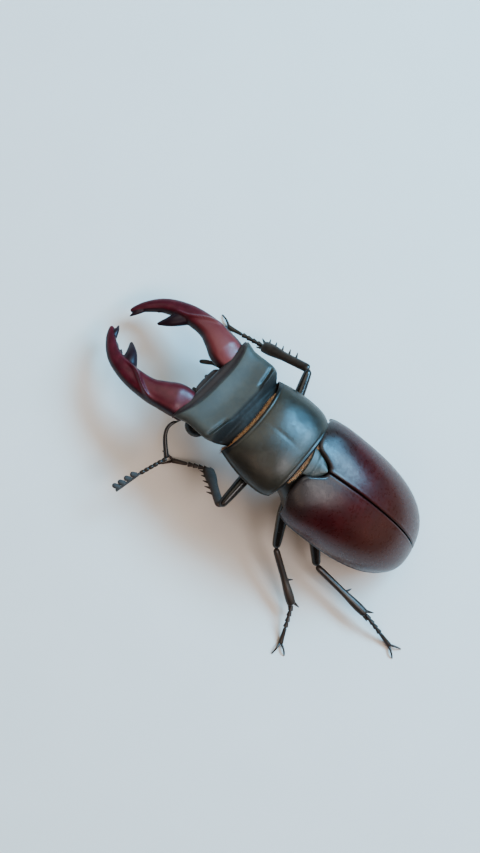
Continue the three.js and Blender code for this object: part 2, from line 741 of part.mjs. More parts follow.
limbs.forEach(({ thigh, shin, foot }, i) => {
  const trunkPieces = legs[i].name.startsWith('front') ? [prothorax] : [thorax, abdomen];
  trim(foot, [floor], 0);
  trim(shin, [foot]);
  trim(thigh, [shin, coxae[i], ...trunkPieces]);
  trim(coxae[i], trunkPieces);
});
feelers.forEach(([scape, funicle, club]) => {
  trim(scape, [skull, ...mandibles]);
  trim(funicle, [scape, club]);
});
for (const piece of [...eyes, ...mandibles, ...palpPieces]) trim(piece, [skull], 2 * clearance);
trim(labrum, [skull, ...mandibles]);
trim(prothorax, [skull]);
trim(scutellum, [thorax, prothorax]);
for (const elytron of [elytronLeft, elytronRight]) trim(elytron, [scutellum, prothorax]);
trim(thorax, [prothorax]);

// Origin on the floor, under the middle of the whole animal.
const box = new THREE.Box3().setFromObject(beetle, true);
beetle.position.set(-(box.min.x + box.max.x) / 2, -(box.min.y + box.max.y) / 2, -box.min.z);

export default beetle;
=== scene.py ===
"""Male stag beetle, Lucanus cervus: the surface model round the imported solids.

Shapes are worked out in millimetres in the frames of the body's own segments
(x to the animal's left, y towards its tail, z up), then placed in metres.
"""

import math

import bmesh
import bpy
import numpy as np
from mathutils import Matrix, Vector


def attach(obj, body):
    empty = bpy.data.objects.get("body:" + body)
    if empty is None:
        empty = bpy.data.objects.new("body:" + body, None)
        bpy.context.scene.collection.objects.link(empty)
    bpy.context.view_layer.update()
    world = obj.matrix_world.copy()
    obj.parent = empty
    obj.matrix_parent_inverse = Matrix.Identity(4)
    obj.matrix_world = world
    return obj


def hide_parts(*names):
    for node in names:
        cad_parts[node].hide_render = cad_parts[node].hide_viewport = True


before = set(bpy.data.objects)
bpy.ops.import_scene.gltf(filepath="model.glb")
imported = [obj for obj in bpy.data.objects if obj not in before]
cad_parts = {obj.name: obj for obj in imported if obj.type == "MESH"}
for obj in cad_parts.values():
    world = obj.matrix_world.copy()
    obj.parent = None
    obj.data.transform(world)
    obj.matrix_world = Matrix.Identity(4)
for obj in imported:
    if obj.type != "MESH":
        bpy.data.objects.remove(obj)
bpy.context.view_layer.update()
rng = np.random.default_rng(7)

# --- driving dimensions (mm)

METRES = 0.001
SIDES = {"left": 1, "right": -1}
HINGE = np.array([-5.3753, -0.2133, 17.5])  # between prothorax and hind body
BODY_PITCH, BODY_ROLL = -22.0, -2.8
PROTHORAX_PITCH, PROTHORAX_YAW = 26.0, -10.5
HEAD_PITCH, HEAD_YAW = 20.0, -4.3

PRONOTUM_LENGTH, PRONOTUM_HALF_WIDTH, PRONOTUM_CROWN = 11.2, 9.6, 4.9
PRONOTUM_MARGIN, PRONOTUM_UNDERSIDE = 0.1, -4.9
ELYTRA_START, ELYTRA_END, ELYTRA_HALF_WIDTH, ELYTRA_CROWN = -0.85, 33.2, 10.6, 7.6
ELYTRA_MARGIN, ELYTRA_SHELL, ELYTRA_ROUND, SUTURE_GAP = -0.9, 0.75, 2.2, 0.03
TRUNK_FRONT, TRUNK_SPLIT, TRUNK_REAR, TRUNK_DEPTH = -1.4, 13.2, 31.4, 1.05
HEAD_REAR, HEAD_UNDERSIDE, HEAD_FORWARD, HEAD_UP, BROW, RIDGE = 2.4, -3.9, 0.4, 0.5, 0.86, 0.38
HEAD_HALF_WIDTH = 9.75
EYE_PLACE, EYE_RADII = (8.0, -7.4, -0.6), (1.72, 1.97, 1.63)

MANDIBLE_PATH = [
    (6.5, -9.7, 0.45), (6.7, -12.2, 0.9), (7.75, -14.9, 1.15), (8.6, -17.2, 1.2),
    (8.95, -20.2, 1.2), (8.75, -23.6, 1.0), (7.8, -27.0, 0.6), (5.6, -29.9, 0.2),
    (3.5, -31.6, 0.0),
]
MANDIBLE_CLOSING = {"left": 0.0, "right": 6.0}
MANDIBLE_INSET = {"left": 0.0, "right": 0.4}
# Share of the red base colour on each mandible: a redder base, and on the right, where the share is
# far larger, painted light, the base lit through.
MANDIBLE_BASE_RED_AND_LIGHT = {"left": 0.15, "right": 0.95}  # how much of the base colour each base shows
MANDIBLE_STATIONS, MANDIBLE_VOXEL = 180, 0.12
BIG_TOOTH_AT = {"left": 0.58, "right": 0.53}
BIG_TOOTH = (5.2, 3.5, 3.7)  # reach inwards, reach forwards, width at the root
# (place along the mandible, reach inwards, reach forwards, width at the root)
MANDIBLE_TEETH = [
    (0.69, 2.4, 1.2, 1.4), (0.75, 2.3, 1.2, 1.3), (0.81, 2.0, 1.1, 1.2), (0.88, 3.35, 1.1, 1.7),
]

# Each limb segment: length, heading turned outwards from straight ahead, rise (degrees).
# A leg is its femur, tibia and tarsus, and the tarsus comes down to the floor by itself.
LEGS = {
    "front_left": ((10.6, 80, -6), (11.6, -63, -53), (8.6, 17)),
    "front_right": ((12.0, 80, 2), (11.3, 6, -46), (8.6, 4)),
    "middle_left": ((10.8, 119, -28), (11.9, 144, -18), (9.4, 111)),
    "middle_right": ((10.0, 143, -17), (11.8, -13, -34), (9.0, 25)),
    "hind_left": ((10.4, 134, -22), (13.7, 170, -6), (10.6, 166)),
    "hind_right": ((10.2, 138, -15), (11.6, 232, -22), (9.4, 214)),
}
HIPS = {"front": (3.9, -5.0, -4.4), "middle": (5.2, 4.5, -4.6), "hind": (4.9, 12.0, -4.8)}
ANTENNAE = {
    "left": dict(side=1, bow=(1.0, -1.5, 0.0), scape=(7.05, 106, -15), funicle=(5.4, 62, -14),
                 club=(5.3, 69, -15)),
    "right": dict(side=-1, bow=(-0.8, -0.4, 0.0), scape=(6.5, 182, -25), funicle=(5.4, 8, -6),
                  club=(4.8, 0, -8)),
}
ANTENNA_ROOT = (8.9, -10.4, -1.2)
CLUB_PLATES = (0.12, 0.36, 0.6, 0.82)  # places along the club
COXA_RADII = {"front": (2.3, 1.9, 1.9), "middle": (2.2, 1.8, 1.6), "hind": (3.0, 1.5, 1.5)}
SHIN_SPINES = {"front": (0.3, 0.45, 0.6, 0.75, 0.88), "middle": (0.55,), "hind": (0.55,)}
SHIN_WIDENING = {"front": 1.35, "middle": 1.0, "hind": 1.0}
CLAW_REACH, SOLE = 2.0, 0.34
PALPS = {
    "maxillary": [(3.6, -9.2, -1.9), (4.6, -12.0, -2.6), (4.2, -14.2, -3.2), (3.2, -16.4, -3.9)],
    "labial": [(1.5, -10.0, -2.3), (1.9, -12.0, -3.0), (1.6, -13.6, -3.7)],
}

# --- frames


def turn(axis, degrees):
    """Rotation about axis 0, 1 or 2."""
    c, s = math.cos(math.radians(degrees)), math.sin(math.radians(degrees))
    i, j = (axis + 1) % 3, (axis + 2) % 3
    matrix = np.eye(3)
    matrix[i, i] = matrix[j, j] = c
    matrix[j, i], matrix[i, j] = s, -s
    return matrix


class Frame:
    """A segment's origin and axes, in millimetres."""

    def __init__(self, origin, axes):
        self.origin, self.axes = np.asarray(origin, float), np.asarray(axes, float)

    def child(self, offset, pitch, yaw):
        return Frame(self.place(np.array(offset, float)), self.axes @ turn(2, yaw) @ turn(0, pitch))

    def place(self, points):
        return self.origin + np.asarray(points, float) @ self.axes.T

    def local(self, points):
        return (points - self.origin) @ self.axes


WORLD = Frame((0, 0, 0), np.eye(3))
SPINE = Frame(HINGE, turn(0, BODY_PITCH))
HIND = Frame(HINGE, SPINE.axes @ turn(1, BODY_ROLL))
FORE = SPINE.child((0, 0, 0), PROTHORAX_PITCH, PROTHORAX_YAW)
HEAD = FORE.child((0, HEAD_FORWARD - PRONOTUM_LENGTH, HEAD_UP), HEAD_PITCH, HEAD_YAW)


def direction(side, heading, rise):
    """Unit vector at a heading turned outwards on a side, and a rise (degrees)."""
    h, r = math.radians(heading), math.radians(rise)
    return np.array([side * math.sin(h) * math.cos(r), -math.cos(h) * math.cos(r), math.sin(r)])


# --- curves and numbers


def profile(stations):
    """Smooth curve through (position, value) stations, without overshoot."""
    xs, ys = np.array(stations, float).T
    slopes = np.diff(ys) / np.diff(xs)
    tangents = np.zeros(len(xs))
    tangents[0], tangents[-1] = slopes[0], slopes[-1]
    for i in range(1, len(xs) - 1):
        before, after = slopes[i - 1], slopes[i]
        tangents[i] = 0 if before * after <= 0 else 2 * before * after / (before + after)

    def value(position):
        p = np.clip(position, xs[0], xs[-1])
        i = np.clip(np.searchsorted(xs, p, side="right") - 1, 0, len(xs) - 2)
        span = xs[i + 1] - xs[i]
        s = (p - xs[i]) / span
        blend = s * s * (3 - 2 * s)
        bow = span * s * (1 - s) * (tangents[i] * (1 - s) - tangents[i + 1] * s)
        return ys[i] * (1 - blend) + ys[i + 1] * blend + bow

    return value


def held(value):
    """The value held between 0 and 1."""
    return np.clip(value, 0, 1)


def arch(share, power, root):
    """Height over a share of the half width: 1 in the middle, 0 at the sides."""
    return held(1 - np.abs(share) ** power) ** root


def ease(low, high, value):
    """0 at low, 1 at high, easing between; low may be the larger."""
    s = held((value - low) / (high - low))
    return s * s * (3 - 2 * s)


def bump(value, centre, width):
    """A bell curve of height 1."""
    return np.exp(-(((value - centre) / width) ** 2))


def spline(points, count):
    """Centripetal Catmull-Rom curve through points, as count places along it."""
    p = np.asarray(points, float)
    p = np.vstack([2 * p[0] - p[1], p, 2 * p[-1] - p[-2]])
    steps = np.sqrt(np.linalg.norm(np.diff(p, axis=0), axis=1))
    knots = np.concatenate([[0], np.cumsum(steps)])
    dense = []
    for i in range(1, len(p) - 2):
        t = np.linspace(knots[i], knots[i + 1], 60, endpoint=i == len(p) - 3)[:, None]
        k = knots[i - 1:i + 3]
        a = [((k[j + 1] - t) * p[i - 1 + j] + (t - k[j]) * p[i + j]) / (k[j + 1] - k[j])
             for j in range(3)]
        b = [((k[j + 2] - t) * a[j] + (t - k[j]) * a[j + 1]) / (k[j + 2] - k[j])
             for j in range(2)]
        dense.append(((k[2] - t) * b[0] + (t - k[1]) * b[1]) / (k[2] - k[1]))
    dense = np.vstack(dense)
    lengths = np.concatenate([[0], np.cumsum(np.linalg.norm(np.diff(dense, axis=0), axis=1))])
    wanted = np.linspace(0, lengths[-1], count)
    return np.stack([np.interp(wanted, lengths, dense[:, i]) for i in range(3)], -1)


def xyz(x, y, z):
    """Points from coordinates, which are broadcast to one shape."""
    return np.stack(np.broadcast_arrays(x, y, z), -1)


def line(start, end, count):
    """Even places on a straight line."""
    t = np.linspace(0, 1, count)[:, None]
    return np.asarray(start, float) * (1 - t) + np.asarray(end, float) * t


# --- mesh building


class Shape:
    """Vertices and faces gathered from grids, rings and fans."""

    def __init__(self):
        self.points, self.faces, self.count = [], [], 0

    def _add(self, points):
        start = self.count
        self.points.append(points.reshape(-1, 3))
        self.count += self.points[-1].shape[0]
        return start

    def grid(self, points):
        """An open sheet of rows by columns of points."""
        rows, columns = points.shape[:2]
        start = self._add(points)
        index = start + np.arange(rows * columns).reshape(rows, columns)
        quads = np.stack([index[:-1, :-1], index[1:, :-1], index[1:, 1:], index[:-1, 1:]], -1)
        self.faces += quads.reshape(-1, 4).tolist()
        return self

    def tube(self, rings):
        """A closed tube through rings of points, with a fan over each end."""
        rows, sides = rings.shape[:2]
        start = self._add(rings)
        index = start + np.arange(rows * sides).reshape(rows, sides)
        turned = np.roll(index, -1, axis=1)
        quads = np.stack([index[:-1], index[1:], turned[1:], turned[:-1]], -1)
        self.faces += quads.reshape(-1, 4).tolist()
        for ring, order in ((0, 1), (-1, -1)):
            middle = self._add(rings[ring].mean(0)[None])
            around = index[ring][::order]
            fan = np.stack([np.full(sides, middle), around, np.roll(around, -1)], -1)
            self.faces += fan.tolist()
        return self

    def slab(self, upper, lower):
        """A body between two sheets that are walled together along their rims."""
        self.grid(upper)
        self.grid(lower[:, ::-1])
        for rim in (lambda g: g[0], lambda g: g[-1], lambda g: g[:, 0], lambda g: g[:, -1]):
            self.grid(np.stack([rim(upper), rim(lower)]))
        return self

    def arrays(self):
        return np.vstack(self.points), self.faces


def welded(points, faces, tolerance=1e-4):
    """Joins points that share a place, and drops the faces that this closes up."""
    keys = np.round(points / tolerance).astype(np.int64)
    _, first, inverse = np.unique(keys, axis=0, return_index=True, return_inverse=True)
    inverse = inverse.reshape(-1)
    kept = []
    for face in faces:
        ring = [int(inverse[v]) for v in face]
        ring = [v for i, v in enumerate(ring) if v != ring[i - 1]]
        if len(ring) >= 3:
            kept.append(ring)
    return points[first], kept


def softened(points, faces, rounds, strength=0.5):
    """Evens the surface out, which rounds its creases."""
    pairs = np.array([(f[i - 1], f[i]) for f in faces for i in range(len(f))])
    pairs = np.unique(np.sort(pairs, axis=1), axis=0)
    degree = np.bincount(pairs.ravel(), minlength=len(points))[:, None]
    for _ in range(rounds):
        total = np.zeros_like(points)
        np.add.at(total, pairs[:, 0], points[pairs[:, 1]])
        np.add.at(total, pairs[:, 1], points[pairs[:, 0]])
        points = points + strength * (total / np.maximum(degree, 1) - points)
    return points


def placed(name, data):
    """An object of this data in the scene."""
    thing = bpy.data.objects.new(name, data)
    bpy.context.scene.collection.objects.link(thing)
    return thing


def unit(vectors):
    return vectors / np.linalg.norm(vectors, axis=1, keepdims=True)


def make_piece(name, shape, place, material, node, soften=0, weld=True, marks=None):
    """A smooth-shaded object from a shape in a segment's frame, standing for a CAD node."""
    points, faces = shape.arrays()
    if weld:
        points, faces = welded(points, faces)
    if soften:
        points = softened(points, faces, soften)
    mesh = bpy.data.meshes.new(name)
    mesh.from_pydata((place.place(points) * METRES).tolist(), [], faces)
    mesh.validate()
    mesh.update()
    piece = placed(name, mesh)
    turn_faces_out(mesh)
    mesh.shade_smooth()
    mesh.materials.append(material)
    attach(piece, "root")
    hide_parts(node)
    if marks:
        mark(piece, place, marks)
    return piece


def mark(piece, place, marks):
    """Stores numbers worked out from each point's local place, for the materials to read."""
    mesh = piece.data
    points = np.empty(len(mesh.vertices) * 3)
    mesh.vertices.foreach_get("co", points)
    local = place.local(points.reshape(-1, 3) / METRES)
    for name, rule in marks.items():
        values = held(rule(local)).astype(np.float32)
        mesh.attributes.new(name, "FLOAT", "POINT").data.foreach_set("value", values)


def turn_faces_out(mesh):
    """Makes every closed surface face outwards."""
    work = bmesh.new()
    work.from_mesh(mesh)
    bmesh.ops.recalc_face_normals(work, faces=work.faces)
    work.to_mesh(mesh)
    work.free()


def superellipse(sides, power):
    """Places round a unit outline: a circle at power 1, squarer below it."""
    angles = np.linspace(0, 2 * math.pi, sides, endpoint=False)
    return (np.sign(np.cos(angles)) * np.abs(np.cos(angles)) ** power,
            np.sign(np.sin(angles)) * np.abs(np.sin(angles)) ** power)


def closed_section(over, below):
    """Rings from an upper and a lower line that share their end points."""
    return np.concatenate([over, below[:, 1:-1][:, ::-1]], axis=1)


def path_axes(path):
    """Directions across and above each place of a path."""
    tangents = unit(np.gradient(path, axis=0))
    across = unit(np.cross((0, 0, 1), tangents))
    return across, np.cross(tangents, across)


def rod(centres, widths, heights, sides=20):
    """Rings round a path, with the given widths across and heights above it."""
    across, above = path_axes(centres)
    u, v = superellipse(sides, 1.0)
    half_w = np.broadcast_to(np.asarray(widths, float) / 2, centres.shape[:1])
    half_h = np.broadcast_to(np.asarray(heights, float) / 2, centres.shape[:1])
    return (centres[:, None] + across[:, None] * (half_w[:, None] * u)[..., None]
            + above[:, None] * (half_h[:, None] * v)[..., None])


def round_ends(t, start=0.03, end=0.03):
    """Share of the full width at t, rounding a rod off over its first and last stretch."""
    near_start = np.sqrt(np.clip(1 - (1 - held(t / start)) ** 2, 0.01, 1))
    near_end = np.sqrt(np.clip(1 - (1 - held((1 - t) / end)) ** 2, 0.01, 1))
    return near_start * near_end


def dense_ends(count):
    """Places from 0 to 1, closer together towards both ends."""
    return 0.5 - 0.5 * np.cos(np.linspace(0, math.pi, count))


# --- materials


SURFACE_IOR = 1.56


class Nodes:
    """Short-hand for a material's node tree."""

    def __init__(self, material):
        material.use_nodes = True
        self.tree = material.node_tree
        self.tree.nodes.clear()
        self.coordinates = self.add("ShaderNodeTexCoord").outputs["Object"]

    def add(self, kind, inputs=None, **settings):
        node = self.tree.nodes.new(kind)
        for key, value in settings.items():
            setattr(node, key, value)
        for key, value in (inputs or {}).items():
            self.feed(node.inputs[key], value)
        return node

    def feed(self, socket, value):
        if isinstance(value, bpy.types.NodeSocket):
            self.tree.links.new(value, socket)
        else:
            socket.default_value = value

    def noise(self, scale, detail=3.0, roughness=0.5):
        node = self.add("ShaderNodeTexNoise", {
            "Scale": scale, "Detail": detail, "Roughness": roughness, "Vector": self.coordinates})
        return node.outputs["Fac"]

    def cells(self, scale):
        node = self.add("ShaderNodeTexVoronoi", {"Scale": scale, "Vector": self.coordinates})
        return node.outputs["Distance"]

    def ramp(self, value, low, high, start=0.0, end=1.0):
        node = self.add("ShaderNodeMapRange", {"From Min": low, "From Max": high, "To Min": start,
                                               "To Max": end}, interpolation_type="SMOOTHSTEP")
        self.feed(node.inputs["Value"], value)
        return node.outputs["Result"]

    def math(self, operation, first, second=0.0):
        node = self.add("ShaderNodeMath", operation=operation)
        self.feed(node.inputs[0], first)
        self.feed(node.inputs[1], second)
        return node.outputs[0]

    def mix(self, factor, first, second):
        node = self.add("ShaderNodeMix", data_type="RGBA")
        self.feed(node.inputs["Factor"], factor)
        for socket, value in ((node.inputs[6], first), (node.inputs[7], second)):
            self.feed(socket, (*value, 1.0) if isinstance(value, tuple) else value)
        return node.outputs[2]

    def attribute(self, name):
        return self.add("ShaderNodeAttribute", attribute_name=name).outputs["Fac"]

    def bump(self, height, distance, strength=1.0, normal=None):
        node = self.add("ShaderNodeBump", {
            "Strength": strength, "Distance": distance, "Height": height})
        if normal is not None:
            self.feed(node.inputs["Normal"], normal)
        return node.outputs["Normal"]

    def shade(self, color, roughness, normal, specular=0.5):
        shader = self.add("ShaderNodeBsdfPrincipled", {
            "Base Color": color, "Roughness": roughness, "Normal": normal,
            "Specular IOR Level": specular, "IOR": SURFACE_IOR,
        })
        output = self.add("ShaderNodeOutputMaterial")
        self.tree.links.new(shader.outputs["BSDF"], output.inputs["Surface"])


def chitin(name, dark, light, roughness, pits=(9000.0, 1.2e-5), blotch=260.0, specular=0.5,
           layers=(), rough_first=None, uneven=0.3):
    """Insect shell: a mottled ground, fine pits, a shallow uneven surface and a satin gloss.

    layers are (attribute, colour) pairs laid over the ground where the mesh says so, and
    rough_first is what the first of them adds to the roughness.
    """
    material = bpy.data.materials.new(name)
    nodes = Nodes(material)
    patches = nodes.noise(blotch, 4.0, 0.6)
    ground = nodes.mix(nodes.ramp(patches, 0.35, 0.68), dark, light)
    rough = nodes.ramp(nodes.noise(1400.0, 3.0), 0.3, 0.75, roughness - 0.04, roughness + 0.06)
    strength = 0.45
    for attribute, color in layers:
        ground = nodes.mix(nodes.attribute(attribute), ground, color)
    if rough_first:
        share = nodes.attribute(layers[0][0])
        rough = nodes.math("ADD", rough, nodes.math("MULTIPLY", share, rough_first))
        strength = nodes.ramp(share, 0.0, 1.0, 0.35, 1.0)
    holes = nodes.ramp(nodes.cells(pits[0]), 0.12, 0.42)
    normal = nodes.bump(nodes.noise(700.0, 3.0), 4.0e-5, uneven)
    normal = nodes.bump(holes, pits[1], strength, normal)
    normal = nodes.bump(nodes.noise(24000.0, 2.0), 3.0e-6, 0.4, normal)
    nodes.shade(ground, rough, normal, specular)
    return material


def fur(name, root_color, tip_color):
    """Hair whose colour runs from root to tip and differs from hair to hair."""
    material = bpy.data.materials.new(name)
    nodes = Nodes(material)
    shade = nodes.mix(nodes.attribute("along"), root_color, tip_color)
    shade = nodes.mix(nodes.ramp(nodes.noise(2500.0, 2.0), 0.35, 0.7, 0.0, 0.55), shade, root_color)
    nodes.shade(shade, 0.42, nodes.bump(nodes.noise(30000.0), 2.0e-6, 0.3), specular=0.4)
    return material


# The head's grey ground is lighter than the black shell: partly painted sheen, the plate's sky
# reflection. The rear layer keeps the rear and sides near black.
head_look = chitin(
    "head_chitin", (0.034, 0.033, 0.027), (0.050, 0.047, 0.038), 0.45, (9000.0, 1.0e-5),
    layers=[("rear", (0.009, 0.007, 0.005)), ("front", (0.030, 0.017, 0.015))], rough_first=0.28)
pronotum_look = chitin(
    "pronotum_chitin", (0.018, 0.013, 0.008), (0.030, 0.022, 0.013), 0.36, (11000.0, 1.2e-5),
    layers=[("rim", (0.006, 0.005, 0.004))], uneven=0.6)
# The rear layer lightens the wing cases towards the tip: a painted reflection of the ground.
elytra_look = chitin(
    "elytra_chitin", (0.038, 0.0016, 0.0026), (0.056, 0.0032, 0.0040), 0.30, (13000.0, 4.0e-6),
    # The fore layer tints the front third grey-brown: partly a darker base, partly painted sky
    # sheen.
    layers=[("rear", (0.060, 0.016, 0.009)), ("fore_tint_and_sheen", (0.030, 0.027, 0.023)),
            ("rim", (0.016, 0.005, 0.004))], specular=0.36, uneven=0.4)
# The base layer is the mandibles' redder base; on the right one it is mostly painted light.
mandible_look = chitin(
    "mandible_chitin", (0.066, 0.0040, 0.0100), (0.096, 0.0090, 0.0165), 0.36, (9000.0, 5.0e-6),
    500.0, layers=[("base", (0.17, 0.036, 0.034)), ("edge", (0.018, 0.005, 0.009))],
    specular=0.32)
leg_look = chitin(
    "leg_chitin", (0.008, 0.006, 0.005), (0.020, 0.011, 0.007), 0.22, (7000.0, 1.2e-5))
shin_look = chitin(
    "shin_chitin", (0.022, 0.012, 0.008), (0.050, 0.028, 0.018), 0.34, (5000.0, 2.0e-5))
under_look = chitin("underside_chitin", (0.012, 0.009, 0.007), (0.028, 0.019, 0.012), 0.40)
eye_look = chitin(
    "eye_lens", (0.004, 0.004, 0.004), (0.007, 0.006, 0.005), 0.26, (15000.0, 1.8e-5),
    specular=0.3)
feeler_look = chitin(
    "feeler_chitin", (0.022, 0.018, 0.016), (0.050, 0.044, 0.040), 0.66, (16000.0, 2.0e-5))
mouth_look = chitin(
    "mouth_chitin", (0.030, 0.018, 0.016), (0.055, 0.034, 0.030), 0.45, (9000.0, 1.0e-5))
gold_hair = fur("gold_hair", (0.16, 0.055, 0.018), (0.66, 0.30, 0.12))

# --- wing cases


elytra_base = profile([
    (0, 2.7), (0.05, 2.35), (0.109, 1.12), (0.204, -0.43), (0.3, -0.8), (0.41, -0.85),
    (0.606, -0.7), (0.75, 0.2), (0.836, 1.0), (1, 2.0),
])


def back_section(y, depth):
    """Half width and height of the back at a place along it, drawn in by a depth."""
    along = held((y - ELYTRA_START) / (ELYTRA_END - depth - ELYTRA_START))
    shoulder = 1 - 0.29 * held(1 - along / 0.278) ** 4
    taper = (1 - held((along - 0.278) / 0.722) ** 2.5) ** (1 / 2.3)
    rise = 3.2 * held(1 - along / 0.46) ** 2.2
    drop = (1 - held((along - 0.46) / 0.54) ** 2.3) ** 0.75
    crown = ELYTRA_MARGIN + (ELYTRA_CROWN - ELYTRA_MARGIN - rise) * drop
    return (np.maximum(ELYTRA_HALF_WIDTH * shoulder * taper - depth, 0.02),
            np.maximum(crown - depth, ELYTRA_MARGIN + 0.02))


def back_surface(t, s, depth):
    """Places on the back: t from base to tip, s from suture to side margin, below the surface."""
    base = elytra_base(s)
    y = base + t * (ELYTRA_END - depth - base)
    half_width, crown = back_section(y, depth)
    power = 2 / ELYTRA_ROUND
    angle = s * math.pi / 2
    x = half_width * np.sin(angle) ** power
    z = ELYTRA_MARGIN + (crown - ELYTRA_MARGIN) * np.cos(angle) ** power
    return x, y, z


def make_elytron(name, side):
    """A wing case: an outer sheet with its shoulder, rims and suture, and an inner one."""
    t = np.concatenate([np.linspace(0, 0.03, 8)[:-1],
                        0.03 + 0.97 * (1 - (1 - np.linspace(0, 1, 150)) ** 1.6)])
    s = np.concatenate([np.linspace(0, 0.03, 7)[:-1], np.linspace(0.03, 0.97, 80),
                        np.linspace(0.97, 1, 8)[1:]])
    t, s = np.meshgrid(t, s, indexing="ij")
    sheets = []
    for depth in (0.0, 1.0):
        shell = depth * (ELYTRA_SHELL - 0.35 * ease(0.8, 1.0, s))
        x, y, z = back_surface(t, s, shell)
        if depth == 0.0:
            callus = 0.13 * bump(x, 7.6, 1.2) * bump(y, 2.6, 1.6)
            dip = 0.06 * bump(x, 5.0, 1.1) * bump(y, 1.0, 1.5)
            suture = -0.18 * np.exp(-x / 0.12) + 0.07 * bump(x, 0.42, 0.16)
            front_lip = -0.25 * np.exp(-t / 0.006)
            z = z + callus - dip + suture + front_lip
            x = x + 0.16 * bump(s, 0.982, 0.012)
        sheets.append(xyz(side * (SUTURE_GAP + x), y, z))
    marks = {
        # Lighter red-brown towards the tip: a painted reflection of the ground.
        "rear": lambda p: ease(8.0, 24.0, p[:, 1] + 0.35 * np.abs(p[:, 0])) * 0.85,
        # Grey-brown tint over the front third: partly a darker base, partly painted sky sheen.
        "fore_tint_and_sheen": lambda p: ease(11.0, 1.5, p[:, 1] + 0.35 * np.abs(p[:, 0])) * 0.8,
        "rim": lambda p: np.maximum(ease(0.9, 0.35, p[:, 2] - ELYTRA_MARGIN),
                                    ease(0.32, 0.10, np.abs(p[:, 0]))),
    }
    make_piece(f"wing_case_{name}", Shape().slab(*sheets), HIND, elytra_look,
               f"elytron_{name}", 2, marks=marks)


for label, sign in SIDES.items():
    make_elytron(label, sign)


def make_scutellum():
    """The small plate between the bases of the wing cases."""
    front, rear, half_width = -1.1, 2.5, 2.75
    u = np.linspace(0, 1, 60)[:, None]
    a = np.linspace(-1, 1, 60)[None]
    width = half_width * np.sqrt(1 - u ** 1.5 * 0.985)
    x = width * a
    y = front + u * (rear - front)
    swelling = ease(0.62, 0.48, np.hypot(a * 1.1, (u - 0.78) * 2.3))
    top = (4.0 + 1.3 * u - 0.5 * a ** 2 - 0.1 * np.abs(a) ** 8 + 0.04 * swelling
           - 0.12 * bump(u, 0.42, 0.1))
    upper = xyz(x, y, top)
    lower = xyz(x, y, 3.1 + 1.3 * u - 0.5 * a ** 2)
    # It takes the head's shell colour, whose grey is partly painted sheen.
    make_piece("scutellum_plate", Shape().slab(upper, lower), HIND, head_look, "scutellum",
               2)


make_scutellum()

# --- thorax and abdomen

belly_depth = profile([(-1.4, -3.6), (1, -5.0), (5, -5.8), (9, -5.9), (13, -5.4), (18, -5.2),
                       (24, -4.4), (28, -3.2), (31, -1.6)])
neck_width = profile([(-1.4, 5.6), (0.4, 6.6), (1.7, 7.1), (3.2, 8.1), (5, 9.0), (7, 10.5)])
neck_crown = profile([(-1.4, 3.0), (0.6, 3.1), (1.7, 2.9), (3, 3.5), (6, 4.8), (9, 7.2)])


def trunk_rings(start, end, rows, sternites):
    """The body under the wing cases, stepped into belly plates or with a groove along it."""
    y = start + (end - start) * dense_ends(rows)[:, None]
    half_width, crown = back_section(y, TRUNK_DEPTH)
    half_width = np.minimum(half_width, neck_width(y))
    crown = np.minimum(crown, neck_crown(y))
    floor = belly_depth(y)
    a = -np.cos(np.linspace(0, math.pi, 61))[None]
    top = ELYTRA_MARGIN + (crown - ELYTRA_MARGIN) * arch(a, ELYTRA_ROUND, 1 / ELYTRA_ROUND)
    under = arch(a, 2, 0.4)
    if sternites:
        phase = (y - start) / (end - start) * sternites
        steps = 0.2 * (phase % 1.0) ** 1.5 * ease(0, 0.12, 1 - phase % 1.0)
    else:
        steps = -0.25 * bump(a, 0, 0.06) * ease(6, 9, y)
    bottom = ELYTRA_MARGIN + (floor - ELYTRA_MARGIN - steps) * under
    over = xyz(half_width * a, y, top)
    return closed_section(over, xyz(half_width * a, y, bottom))


thorax_shape = Shape().tube(trunk_rings(TRUNK_FRONT, TRUNK_SPLIT, 60, 0))
make_piece("thorax_shell", thorax_shape, HIND, under_look, "thorax", 2)
abdomen_shape = Shape().tube(trunk_rings(TRUNK_SPLIT + 0.05, TRUNK_REAR, 120, 5))
make_piece("abdomen_shell", abdomen_shape, HIND, under_look, "abdomen", 1)

# --- prothorax


def pronotum_width(u):
    """Half width of the pronotum from its hind margin (u 0) to its front one (u 1)."""
    rear = 0.10 * held(1 - u / 0.35) ** 3
    front = 0.13 * held((u - 0.35) / 0.65) ** 1.9
    return PRONOTUM_HALF_WIDTH * (1 - rear - front)


def pronotum_fall(u):
    """How far the crown falls off towards the hind (u 0) and the front (u 1) margin."""
    return held((0.42 - u) / 0.42) ** 2.2 + 1.6 * held((u - 0.42) / 0.58) ** 2.3


def pronotum_ends(a):
    """Places of the hind and the front margin at a share of the half width."""
    return (0.1 - 0.6 * np.abs(a) ** 6,
            -PRONOTUM_LENGTH - 0.8 * np.abs(a) ** 4 + 0.15 * np.cos(a * math.pi))


def pronotum_top(u, a):
    dome = arch(a, 2.5, 0.62)
    return PRONOTUM_MARGIN + (PRONOTUM_CROWN - pronotum_fall(u) - PRONOTUM_MARGIN) * dome


